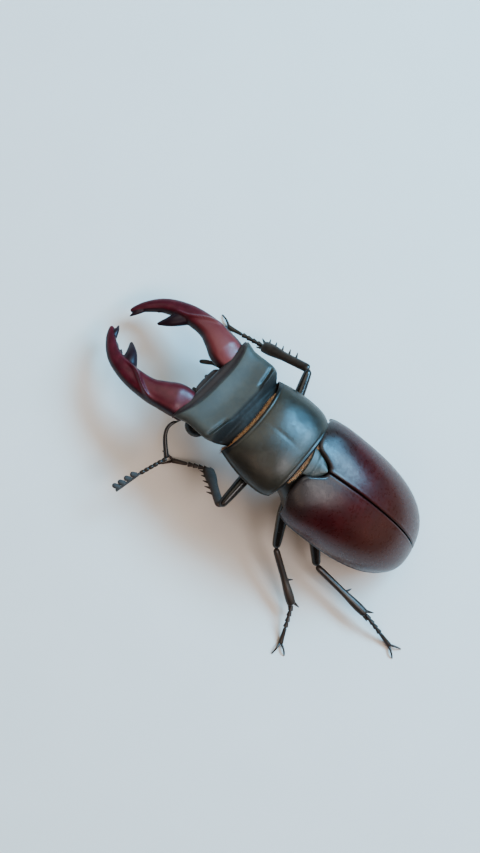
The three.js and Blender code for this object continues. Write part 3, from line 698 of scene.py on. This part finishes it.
def pronotum_rings(u):
    """Sections of the prothorax from its hind margin (u 0) to its front one (u 1)."""
    a = -np.cos(np.linspace(0, math.pi, 170))[None]
    rear, front = pronotum_ends(a)
    u = u[:, None]
    x = pronotum_width(u) * a
    y = rear + u * (front - rear)
    top = pronotum_top(u, a)
    top = (top - 0.13 * bump(np.abs(x), 5.2, 1.5) * bump(y, -5.4, 1.6)
           - 0.05 * bump(x, 0, 0.4) * bump(y, -6, 3))
    edges = bump(u, 0.022, 0.012) + bump(u, 0.975, 0.014)
    grooves = bump(u, 0.055, 0.014) + 0.6 * bump(u, 0.945, 0.014)
    top = top + (0.06 * edges - 0.05 * grooves) * ease(1.0, 0.93, np.abs(a))
    x = x * (1 + 0.016 * bump(np.abs(a), 1.0, 0.004))
    bulge = arch(a, 2.4, 0.6) * (0.72 + 0.28 * np.sin(math.pi * u))
    bottom = PRONOTUM_MARGIN + (PRONOTUM_UNDERSIDE - PRONOTUM_MARGIN) * bulge
    return closed_section(xyz(x, y, top), xyz(x, y, bottom))


# The shell turns in at both ends: (scale of the ring, depth inwards).
PROTHORAX_MOUTH = [(0.985, 0.02), (0.965, 0.2), (0.94, 0.9), (0.86, 1.9), (0.5, 2.6)]


def make_prothorax():
    rings = pronotum_rings(dense_ends(130))
    ends = []
    for ring, inwards in ((rings[0], -1.0), (rings[-1], 1.0)):
        middle = ring.mean(0) * [1, 0, 0] + [0, 0, -0.3]
        inner = [(ring - middle) * [scale, 1, scale] + middle + [0, inwards * deep, 0]
                 for scale, deep in PROTHORAX_MOUTH]
        ends.append(np.stack(inner))
    shape = Shape().tube(np.concatenate([ends[0][::-1], rings, ends[1]]))
    marks = {"rim": lambda p: np.maximum(ease(-0.55, -0.15, p[:, 1]),
                                         ease(-10.9, -11.2, p[:, 1]))}
    make_piece("prothorax_shell", shape, FORE, pronotum_look, "prothorax", 1,
               marks=marks)


make_prothorax()

# --- head

head_width = profile([(0, 5.6), (0.16, 6.7), (0.28, 7.7), (0.36, 8.9), (0.46, 9.3), (0.7, 9.2),
                      (0.86, HEAD_HALF_WIDTH), (1, HEAD_HALF_WIDTH)])
head_crown = profile([(0, 1.2), (0.16, 1.9), (0.3, 2.3), (0.37, 3.0), (0.6, 3.0), (0.845, 3.15),
                      (0.87, 2.95), (0.9, 2.62), (0.955, 2.4), (0.98, 1.9), (1, 0.7)])


def brow_line(share):
    """Front edge of the flat plate at a share of the half width."""
    return -8.7 - 2.0 * np.abs(share) ** 3


def head_rings(u):
    """Sections of the head from its neck (u 0) over ridge, plate and brow to the mouth (u 1)."""
    angle = np.linspace(0, math.pi, 161)[None]
    a = 0.5 * -np.cos(angle) + 0.5 * (angle / math.pi * 2 - 1)
    off = np.abs(a)
    u = u[:, None]
    brow = brow_line(a)
    mouth_line = -11.35 - 0.1 * off
    y = np.where(u < BROW, HEAD_REAR + u / BROW * (brow - HEAD_REAR),
                 brow + (u - BROW) / (1 - BROW) * (mouth_line - brow))
    x = head_width(u) * a
    lean = np.where(u < RIDGE, 0.016, 0.022)
    ridge = (0.62 * bump(u, RIDGE, lean) * ease(0.38, 0.62, off)
             * ease(1.0, 0.9, off))
    groove = (0.30 * bump(u, RIDGE + 0.055, 0.025) * ease(0.38, 0.6, off)
              * ease(0.98, 0.85, off))
    dish = 0.18 * (1 - a ** 2) * np.sin(math.pi * held((u - RIDGE) * 2.1))
    flat = ease(RIDGE - 0.10, RIDGE - 0.01, u)
    fall = 2.2 * off ** 3 * (1 - flat) + 0.9 * off ** 14 * flat
    hollow = (0.45 * bump(u, RIDGE - 0.075, 0.035) * ease(0.2, 0.6, off)
              * ease(1.0, 0.9, off))
    top = head_crown(u) + ridge - groove - dish - fall - hollow
    rim = top[:, :1]
    bulge = arch(a, 3, 0.55)
    throat = HEAD_UNDERSIDE + 2.4 * u ** 6 + 1.2 * (1 - u) ** 4
    bottom = np.minimum(rim + (throat - rim) * bulge, top)
    return closed_section(xyz(x, y, top),
                          xyz(x * (1 - 0.06 * bulge), y, bottom))


def make_head():
    rings = head_rings(np.linspace(0, 1, 190))
    last = rings[-1]
    middle = last.mean(0)
    mouth = np.stack([middle + (last - middle) * scale + [0, deep, 0]
                      for scale, deep in ((0.97, 0.0), (0.9, 0.15), (0.6, 0.8), (0.3, 1.0))])

    def side_and_rear(p):
        return np.maximum(ease(-3.3, -2.5, p[:, 1]), ease(1.5, 0.9, p[:, 2]))

    def front_face(p):
        ahead = p[:, 1] - brow_line(p[:, 0] / HEAD_HALF_WIDTH)
        return ease(0.05, -0.3, ahead) * ease(-0.6, 0.2, p[:, 2])

    shape = Shape().tube(np.concatenate([rings, mouth]))
    make_piece("head_capsule", shape, HEAD, head_look, "head", 2,
               marks={"rear": side_and_rear, "front": front_face})


make_head()


def make_labrum():
    """The upper lip, a plate under the middle of the brow."""
    u = np.linspace(0, 1, 40)[:, None]
    a = np.linspace(-1, 1, 60)[None]
    width = 3.05 * (1 - 0.3 * u ** 2) * round_ends(0.5 + u / 2, 0.01, 0.06)
    x, y = width * a, -10.9 - 1.55 * u + 0.12 * u * bump(a, 0, 0.25)
    z = 0.5 - 0.6 * u - 0.25 * a ** 2
    upper = xyz(x, y, z + 0.33 - 0.25 * u ** 6)
    lower = xyz(x, y, z - 0.45 + 0.25 * u ** 6)
    make_piece("labrum_plate", Shape().slab(upper, lower), HEAD, mouth_look, "labrum",
               2)


make_labrum()


def ellipsoid_rings(radii, rows=40, sides=48):
    polar = np.linspace(0.02, math.pi - 0.02, rows)[:, None]
    around = np.linspace(0, 2 * math.pi, sides, endpoint=False)[None]
    return xyz(np.sin(polar) * np.cos(around), np.sin(polar) * np.sin(around),
               np.cos(polar)) * np.array(radii)


for label, sign in SIDES.items():
    centre = np.array([sign * EYE_PLACE[0], EYE_PLACE[1], EYE_PLACE[2]])
    eye = Shape().tube(ellipsoid_rings(EYE_RADII) + centre)
    make_piece(f"compound_eye_{label}", eye, HEAD, eye_look, f"eye_{label}")

# --- mandibles

mandible_width = profile([(0, 5.6), (0.125, 5.9), (0.25, 4.8), (0.375, 3.8), (0.5, 3.4),
                          (0.625, 2.9), (0.75, 2.3), (0.88, 1.6), (1, 0.5)])
mandible_height = profile([(0, 4.6), (0.15, 4.3), (0.35, 3.4), (0.6, 2.8), (0.85, 1.9), (1, 0.5)])


def mandible_path(name, side):
    """The mandible's middle line, closed and set in by its own amounts."""
    pivot = np.array(MANDIBLE_PATH[0])
    points = (np.array(MANDIBLE_PATH) - pivot) @ turn(2, -MANDIBLE_CLOSING[name]).T + pivot
    return spline((points - [MANDIBLE_INSET[name], 0, 0]) * [side, 1, 1], MANDIBLE_STATIONS)


def mandible_blade(path, side):
    """Rings of a flat-topped blade, with a crest that crosses it towards the big tooth."""
    t = np.linspace(0, 1, len(path))[:, None]
    across, above = path_axes(path)
    u, v = (part[None] for part in superellipse(56, 0.82))
    taper = round_ends(t, 0.02, 0.03)
    outward = side * u
    crest_line = 0.85 - 1.5 * ease(0.28, 0.56, t)
    crest = (0.55 * bump(outward, crest_line, 0.16) * ease(0.22, 0.34, t)
             * ease(0.66, 0.56, t))
    high = (mandible_height(t) / 2 + 0.06) * taper * (1 - 0.24 * ease(0.15, 0.05, t))
    wide = (mandible_width(t) / 2 + 0.14) * taper
    lift = high * v + np.where(v > 0, v, 0) * (crest - 0.25 * (outward - 0.1) * high * 0.5)
    return (path[:, None] + across[:, None] * (wide * u)[..., None]
            + above[:, None] * lift[..., None])


def make_mandible(name, side):
    """A blade and its teeth, remeshed into one surface and marked for its colours."""
    path = mandible_path(name, side)
    shape = Shape().tube(mandible_blade(path, side))
    for at, inward, forward, width in [(BIG_TOOTH_AT[name], *BIG_TOOTH), *MANDIBLE_TEETH]:
        root = path[int(at * (MANDIBLE_STATIONS - 1))]
        tip = root + [-side * inward, -forward, -0.15 * inward]
        bend = root + [-side * inward * 0.6, -forward * 0.46, 0.0]
        tooth = spline([root, bend, tip], 40)
        s = np.linspace(0, 1, 40)
        size = width * (1 - 0.88 * s ** 1.25) * round_ends(s, 0.02, 0.05)
        shape.tube(rod(tooth, size, size * 0.78, 24))
    piece = make_piece(f"mandible_horn_{name}", shape, HEAD, mandible_look, f"mandible_{name}",
                       weld=False)
    remesh = piece.modifiers.new("one_surface", "REMESH")
    remesh.mode = "VOXEL"
    remesh.voxel_size = MANDIBLE_VOXEL * METRES
    smooth = piece.modifiers.new("smoothing", "SMOOTH")
    smooth.factor = 0.5
    smooth.iterations = 7
    settle(piece)
    across = path_axes(path)[0]
    places = np.linspace(0, 1, len(path))

    def nearest(points):
        """Place along the path, and share of the half width off it, outwards."""
        index = np.concatenate([
            ((block[:, None] - path[None, ::2]) ** 2).sum(-1).argmin(1) * 2
            for block in np.array_split(points, 40)])
        index = np.minimum(index, len(path) - 1)
        outwards = side * ((points - path[index]) * across[index]).sum(1)
        return places[index], outwards / (mandible_width(places[index]) / 2)

    def edge(points):
        t, offset = nearest(points)
        low = ease(0.2, -0.5, points[:, 2] - path[(t * (len(path) - 1)).astype(int), 2])
        sides = np.maximum(ease(0.72, 1.0, offset), ease(-0.7, -1.05, offset))
        return np.maximum(sides, low)

    # Redder base, on the right mandible mostly painted light.
    def base(points):
        return MANDIBLE_BASE_RED_AND_LIGHT[name] * ease(0.56, 0.2, nearest(points)[0])

    mark(piece, HEAD, {"edge": edge, "base": base})


def settle(piece):
    """Applies the piece's modifiers to its mesh."""
    graph = bpy.context.evaluated_depsgraph_get()
    mesh = bpy.data.meshes.new_from_object(piece.evaluated_get(graph))
    piece.modifiers.clear()
    piece.data = mesh
    mesh.shade_smooth()


for label, sign in SIDES.items():
    make_mandible(label, sign)

# --- feelers


def bead_string(start, end, beads, thick, pinch):
    """A row of beads, pinched in between."""
    t = np.linspace(0, 1, beads * 12 + 1)
    phase = t * beads % 1.0
    swell = pinch + (1 - pinch) * np.sqrt(np.abs(np.sin(math.pi * phase)))
    return rod(line(start, end, len(t)), thick * swell, thick * swell, 16)


def make_antenna(name, side, bow, scape, funicle, club):
    """An elbowed feeler: a bowed stalk, a string of beads and a club of plates."""
    root = HEAD.place(np.array(ANTENNA_ROOT) * [side, 1, 1])
    elbow = root + direction(side, *scape[1:]) * scape[0]
    wrist = elbow + direction(side, *funicle[1:]) * funicle[0]
    tip = wrist + direction(side, *club[1:]) * club[0]
    t = np.linspace(0, 1, 40)
    thick = (0.62 + 0.35 * t) * round_ends(t, 0.05, 0.06)
    bowed = line(root, elbow, 40) + np.sin(math.pi * np.sqrt(t))[:, None] * bow
    stalk = Shape().tube(rod(bowed, thick, thick, 20))
    string = Shape().tube(bead_string(elbow, wrist, 6, 0.78, 0.6))
    plates = Shape().tube(rod(line(wrist, tip, 20), 0.5, 0.5, 14))
    inward = direction(side, club[1] - 90, 0)
    for i, at in enumerate(CLUB_PLATES):
        start = wrist + (tip - wrist) * at
        end = start + inward * (1.0 + 0.1 * i) + (tip - wrist) * 0.16
        s = np.linspace(0, 1, 24)
        wide = (1.05 - 0.15 * s) * round_ends(s, 0.1, 0.3)
        plates.tube(rod(line(start, end, 24), wide, 0.5 * round_ends(s, 0.1, 0.25), 16))
    for part, shape, look, slot in (("scape", stalk, leg_look, "leg_shell"),
                                    ("funicle", string, leg_look, "leg_shell"),
                                    ("club", plates, feeler_look, "feeler_shell")):
        make_piece(f"{part}_{name}", shape, WORLD, look, f"antenna_{name}_{part}")


for label, parts in ANTENNAE.items():
    make_antenna(label, **parts)

for kind, path in PALPS.items():
    for label, sign in SIDES.items():
        centres = spline(np.array(path) * [sign, 1, 1], 60)
        s = np.linspace(0, 1, 60)
        swell = 0.6 + 0.4 * np.sqrt(np.abs(np.sin(math.pi * s * (len(path) - 1))))
        size = 0.85 * swell * round_ends(s, 0.05, 0.05)
        shape = Shape().tube(rod(centres, size, size, 18))
        make_piece(f"palp_{kind}_{label}_feeler", shape, HEAD, feeler_look,
                   f"palp_{kind}_{label}")

# --- legs

femur_size = profile([(0, 1.2), (0.1, 1.7), (0.38, 2.35), (0.7, 2.1), (0.92, 1.75), (1, 1.1)])
tibia_size = profile([(0, 0.95), (0.08, 1.25), (0.5, 1.3), (0.85, 1.75), (1, 1.6)])


def limb_frame(start, side, heading, rise):
    """Axes with +X along the limb, +Z above it and +Y to its left."""
    along = direction(side, heading, rise)
    left = np.cross((0, 0, 1), along)
    left /= np.linalg.norm(left)
    return Frame(start, np.stack([along, left, np.cross(along, left)], -1))


def spike_rings(start, end, width):
    """A tapering spine."""
    size = width * (1 - 0.9 * np.linspace(0, 1, 12)) ** 0.8
    return rod(line(start, end, 12), size, size, 10)


def make_leg(name, femur, tibia, tarsus):
    """Hip, thigh, spined shin and foot, each standing for its own node."""
    place, label = name.split("_")
    side = SIDES[label]
    segment = FORE if place == "front" else HIND
    hip_local = np.array(HIPS[place]) * [side, 1, 1]
    centre = hip_local + [-1.6 * side, 0, 0.3]
    coxa = Shape().tube(ellipsoid_rings(COXA_RADII[place]) + centre)
    make_piece(f"hip_{name}", coxa, segment, leg_look, f"coxa_{name}")

    start = segment.place(hip_local)
    knee = start + direction(side, *femur[1:]) * femur[0]
    ankle = knee + direction(side, *tibia[1:]) * tibia[0]

    t = dense_ends(60)
    size = femur_size(t) * round_ends(t, 0.04, 0.05)
    thigh = Shape().tube(rod(t[:, None] * [femur[0], 0, 0], 0.88 * size, size, 28))
    make_piece(f"thigh_{name}", thigh, limb_frame(start, side, *femur[1:]), leg_look,
               f"femur_{name}")

    widen = SHIN_WIDENING[place]
    size = tibia_size(t) * round_ends(t, 0.04, 0.05)
    shin = Shape().tube(rod(t[:, None] * [tibia[0], 0, 0], widen * size, 0.85 * size, 24))
    for at in SHIN_SPINES[place]:
        root = np.array([at * tibia[0], 0, 0])
        shin.tube(spike_rings(root, root + [0.7, side * (0.62 * widen + 0.95), 0], 0.75))
    for sign in (-1, 1):
        root = np.array([tibia[0] - 0.7, 0.3 * sign, 0])
        tip = (tibia[0] + 1.1, sign * (0.75 + 0.55 * (sign == side)), -0.2)
        shin.tube(spike_rings(root, tip, 0.8))
    make_piece(f"shin_{name}", shin, limb_frame(knee, side, *tibia[1:]), shin_look,
               f"tibia_{name}", weld=False)
    make_foot(name, side, ankle, tarsus)


def make_foot(name, side, ankle, tarsus):
    """Five joints that come down to the floor, and two claws, cut flat where they touch it."""
    length, heading = tarsus
    drop = ankle[2]
    end = length - CLAW_REACH

    def path(t):
        z = -drop + SOLE + (drop - SOLE) * (1 - t) ** 1.5 + 0.5 * np.sin(math.pi * t)
        return xyz(end * t, 0, z)

    foot = Shape()
    ends = [0, 0.14, 0.28, 0.42, 0.56, 1]
    for first, last in zip(ends, ends[1:]):
        s = dense_ends(16)
        t = first + (last - first) * (s * 0.98)
        thick = (0.62 + 0.42 * s ** 1.2) * round_ends(s, 0.1, 0.12)
        foot.tube(rod(path(t), thick, thick, 16))
    for sign in (-1, 1):
        claw = spline([(end - 0.5, 0, -drop + SOLE), (end + 0.9, 0.75 * sign, -drop + SOLE + 0.35),
                       (length, 1.25 * sign, -drop + 0.1)], 24)
        s = np.linspace(0, 1, 24)
        size = (0.55 - 0.35 * s) * round_ends(s, 0.05, 0.05)
        foot.tube(rod(claw, size, size, 12))
    for block in foot.points:
        block[:, 2] = np.maximum(block[:, 2], -drop)
    make_piece(f"foot_{name}", foot, limb_frame(ankle, side, heading, 0), shin_look,
               f"tarsus_{name}", weld=False)


for label, parts in LEGS.items():
    make_leg(label, *parts)

# --- hair


BAKE_PATCH = 0.003  # each hair's share of the bake map
HAIR_SIDES = 3
HAIR_STATIONS = np.array([0.0, 0.3, 0.65, 1.0])
HAIR_TAPER = np.array([1.0, 0.92, 0.62, 0.08])


def make_hair(name, roots, lie, lengths, widths, unwrap, curl=0.25):
    """Solid tapering hairs from roots, along lie, with one small patch each in the bake map."""
    count = len(roots)
    lie = unit(lie)
    side = unit(np.cross(lie, (0.13, 0.07, 1.0)))
    over = np.cross(side, lie)
    bend = (rng.normal(size=(count, 1)) * side + rng.normal(size=(count, 1)) * over) * curl
    corner = np.arange(HAIR_SIDES) * 2 * math.pi / HAIR_SIDES
    rim = (np.cos(corner)[None, :, None] * side[:, None]
           + np.sin(corner)[None, :, None] * over[:, None])
    centre = (roots[:, None] + lengths[:, None, None] * (
        HAIR_STATIONS[None, :, None] * lie[:, None]
        + (HAIR_STATIONS ** 2)[None, :, None] * bend[:, None]))
    points = (centre[:, :, None]
              + rim[:, None] * (widths[:, None] * HAIR_TAPER / 2)[:, :, None, None])
    rows = len(HAIR_STATIONS)
    index = np.arange(count * rows * HAIR_SIDES).reshape(count, rows, HAIR_SIDES)
    turned = np.roll(index, -1, axis=2)
    quads = np.stack([index[:, :-1], turned[:, :-1], turned[:, 1:], index[:, 1:]], -1)
    caps = np.concatenate([index[:, 0, ::-1], index[:, -1]])
    mesh = bpy.data.meshes.new(name)
    mesh.from_pydata((FORE.place(points.reshape(-1, 3)) * METRES).tolist(), [],
                     quads.reshape(-1, 4).tolist() + caps.tolist())
    mesh.update()
    across = np.arange(HAIR_SIDES)[None] / (HAIR_SIDES - 1)
    patch = np.stack(np.broadcast_arrays(across, HAIR_STATIONS[:, None]), -1) - 0.5
    corners = unwrap[:, None, None] + BAKE_PATCH * patch[None]
    loops = np.empty(len(mesh.loops), dtype=np.int32)
    mesh.loops.foreach_get("vertex_index", loops)
    layer = mesh.uv_layers.new(name="OFBake")
    layer.data.foreach_set("uv", corners.reshape(-1, 2)[loops].astype(np.float32).ravel())
    along = np.broadcast_to(HAIR_STATIONS[None, :, None], index.shape).astype(np.float32)
    mesh.attributes.new("along", "FLOAT", "POINT").data.foreach_set("value", along.ravel())
    mesh.shade_smooth()
    mesh.materials.append(gold_hair)
    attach(placed(name, mesh), "root")


def shell_unwrap(across, along):
    """The prothorax shell spread flat: its width across the map, its length from rear to front."""
    return np.stack([0.5 + 0.46 * across, 0.1 + 0.8 * along], -1)


def clumps(across, count, least):
    """A length share that runs in tufts across the body."""
    phase = across * count + 0.7 * np.sin(across * count * 0.37)
    return least + (1 - least) * np.abs(np.sin(phase * math.pi)) ** 0.7


def make_fringe(name, margin, across, under, sway, spread, lengths, tufts, fade, widest):
    """Hairs along one margin of the pronotum (0 hind, 1 front), pointing away from it.

    across and under are where the roots lie, sway and spread how the hairs lean, and the
    lengths are drawn in tufts that fade out to the sides.
    """
    n, away = FRINGE_HAIRS, 1 - 2 * margin
    a = rng.uniform(*across, n)
    depth = rng.uniform(0.05, 0.35, n)
    top = pronotum_top(float(margin), a) - rng.uniform(*under, n)
    roots = xyz(pronotum_width(float(margin)) * a, pronotum_ends(a)[margin] - away * depth, top)
    lie = xyz(sway[0] * np.sin(a * sway[1]) + rng.normal(0, spread[0], n), float(away),
              sway[2] + rng.normal(0, spread[1], n))
    length = (rng.uniform(*lengths[:2], n) * clumps(a, *tufts)
              * ease(*fade[:2], np.abs(a - fade[2])))
    make_hair(name, roots, lie, lengths[2] + length, rng.uniform(0.022, widest, n),
              shell_unwrap(a, np.abs(margin - depth / SHELL_LENGTH)))


def make_neck_tufts():
    """Short hairs at both sides of the neck."""
    n = NECK_HAIRS
    side = np.where(rng.random(n) < 0.5, 1, -1)
    across = rng.uniform(6.7, 7.8, n)
    roots = xyz(side * across, rng.uniform(-11.7, -11.2, n), rng.uniform(-1.8, -0.3, n))
    lie = xyz(side * rng.normal(0.75, 0.3, n), rng.normal(-1.0, 0.25, n),
              rng.normal(0.0, 0.25, n))
    make_hair("tufts_neck", roots, lie, rng.uniform(0.5, 1.0, n), rng.uniform(0.025, 0.045, n),
              shell_unwrap(side * across / PRONOTUM_HALF_WIDTH, 0.97 + 0 * across), 0.35)


FRINGE_HAIRS, NECK_HAIRS = 6500, 900
SHELL_LENGTH = 11  # what the bake map takes the shell's length to be

make_fringe("fringe_front", 1, across=(-0.68, 0.90), under=(0.10, 0.5), sway=(0.25, 40, -0.15),
            spread=(0.22, 0.2), lengths=(0.35, 0.78, 0.12), tufts=(15, 0.55),
            fade=(0.86, 0.5, 0.1), widest=0.042)
make_fringe("fringe_hind", 0, across=(-0.80, 0.62), under=(0.15, 0.75), sway=(0.2, 33, -0.12),
            spread=(0.2, 0.16), lengths=(0.45, 0.95, 0.15), tufts=(13, 0.6),
            fade=(0.95, 0.45, -0.09), widest=0.045)
make_neck_tufts()

# --- floor, light and camera


FLOOR_HALF_SIZE = 3.0
# name: (azimuth, elevation, distance), (width, height), power, colour. The first stands where
# the photo's sky spot is mirrored from.
PANELS = {
    "sky_panel": ((-98, 49, 0.6), (0.27, 0.20), 5.8, (0.20, 0.62, 1.0)),
    "sky_rear_panel": ((-134, 46, 0.6), (0.22, 0.22), 3.2, (0.34, 0.70, 1.0)),
    "canopy_panel": ((-40, 53, 0.6), (0.60, 0.50), 1.8, (1.0, 0.95, 0.80)),
    "zenith_panel": ((168, 68, 0.6), (0.28, 0.28), 1.6, (1.0, 0.95, 0.94)),
    "wood_panel": ((75, 56, 0.8), (0.6, 0.4), 1.3, (1.0, 0.76, 0.60)),
    "rear_panel": ((178, 26, 0.8), (0.6, 0.26), 0.4, (1.0, 0.78, 0.66)),
}
LIGHT_TARGET = (0, 0, 0.012)


def make_floor():
    mesh = bpy.data.meshes.new("studio_floor")
    corners = [(x * FLOOR_HALF_SIZE, y * FLOOR_HALF_SIZE, 0)
               for x, y in ((-1, -1), (1, -1), (1, 1), (-1, 1))]
    mesh.from_pydata(corners, [], [(0, 1, 2, 3)])
    material = bpy.data.materials.new("studio_floor_paint")
    nodes = Nodes(material)
    tone = nodes.mix(nodes.noise(60.0, 4.0), (0.665, 0.60, 0.55), (0.705, 0.635, 0.58))
    nodes.shade(tone, 0.75, nodes.bump(nodes.noise(4000.0), 1e-5, 0.3), specular=0.2)
    mesh.materials.append(material)
    placed("studio_floor", mesh)


def area_light(name, place, size, power, color):
    data = bpy.data.lights.new(name, "AREA")
    data.shape, data.size, data.size_y = "RECTANGLE", size[0], size[1]
    data.energy, data.color = power, color
    light = placed(name, data)
    light.location = place
    aim = Vector(LIGHT_TARGET) - Vector(place)
    light.rotation_euler = aim.to_track_quat("-Z", "Y").to_euler()


def sky_direction(azimuth, elevation, distance):
    """A place round the part, in metres; azimuth 0 is straight ahead of it."""
    a, e = math.radians(azimuth), math.radians(elevation)
    return (distance * math.sin(a) * math.cos(e), -distance * math.cos(a) * math.cos(e),
            distance * math.sin(e))


VIEW_AZIMUTH, VIEW_ELEVATION, VIEW_DISTANCE = 38.4, 70.9, 0.4
FOCAL_PIXELS, FRAME_WIDTH, FRAME_HEIGHT = 2244.0, 480.0, 853.0
VIEW_RIGHT = (-0.494, 0.807, 0.324)  # the picture's right-hand direction in the part's frame
HINGE_IN_PICTURE = (300.42, 461.26)


def make_camera():
    """The photo's view: its direction, with the hinge where the photo has it in the frame."""
    data = bpy.data.cameras.new("photo_view")
    data.sensor_width = 36.0
    data.lens = data.sensor_width * FOCAL_PIXELS / FRAME_HEIGHT
    data.clip_start, data.clip_end = 0.01, 10.0
    back = Vector(sky_direction(VIEW_AZIMUTH, VIEW_ELEVATION, 1.0))
    right = Vector(VIEW_RIGHT)
    right = (right - back * right.dot(back)).normalized()
    up = back.cross(right)
    seen = Vector(((HINGE_IN_PICTURE[0] - FRAME_WIDTH / 2) / FOCAL_PIXELS,
                   (FRAME_HEIGHT / 2 - HINGE_IN_PICTURE[1]) / FOCAL_PIXELS, -1.0)).normalized()
    swing = seen.rotation_difference(Vector((0, 0, -1)))
    axes = Matrix((right, up, back)).transposed() @ swing.to_matrix()
    camera = placed("photo_view", data)
    eye = Vector(HINGE * METRES) + back * VIEW_DISTANCE
    camera.matrix_world = Matrix.Translation(eye) @ axes.to_4x4()
    bpy.context.scene.camera = camera


make_floor()
for label, (bearing, size, power, color) in PANELS.items():
    area_light(label, sky_direction(*bearing), size, power, color)

world = bpy.data.worlds.new("studio")
world.use_nodes = True
background = world.node_tree.nodes["Background"]
background.inputs["Color"].default_value = (0.9, 0.93, 0.95, 1)
background.inputs["Strength"].default_value = 0.15
bpy.context.scene.world = world
bpy.context.scene.view_settings.look = "AgX - Medium High Contrast"
bpy.context.scene.view_settings.exposure = -0.2
make_camera()
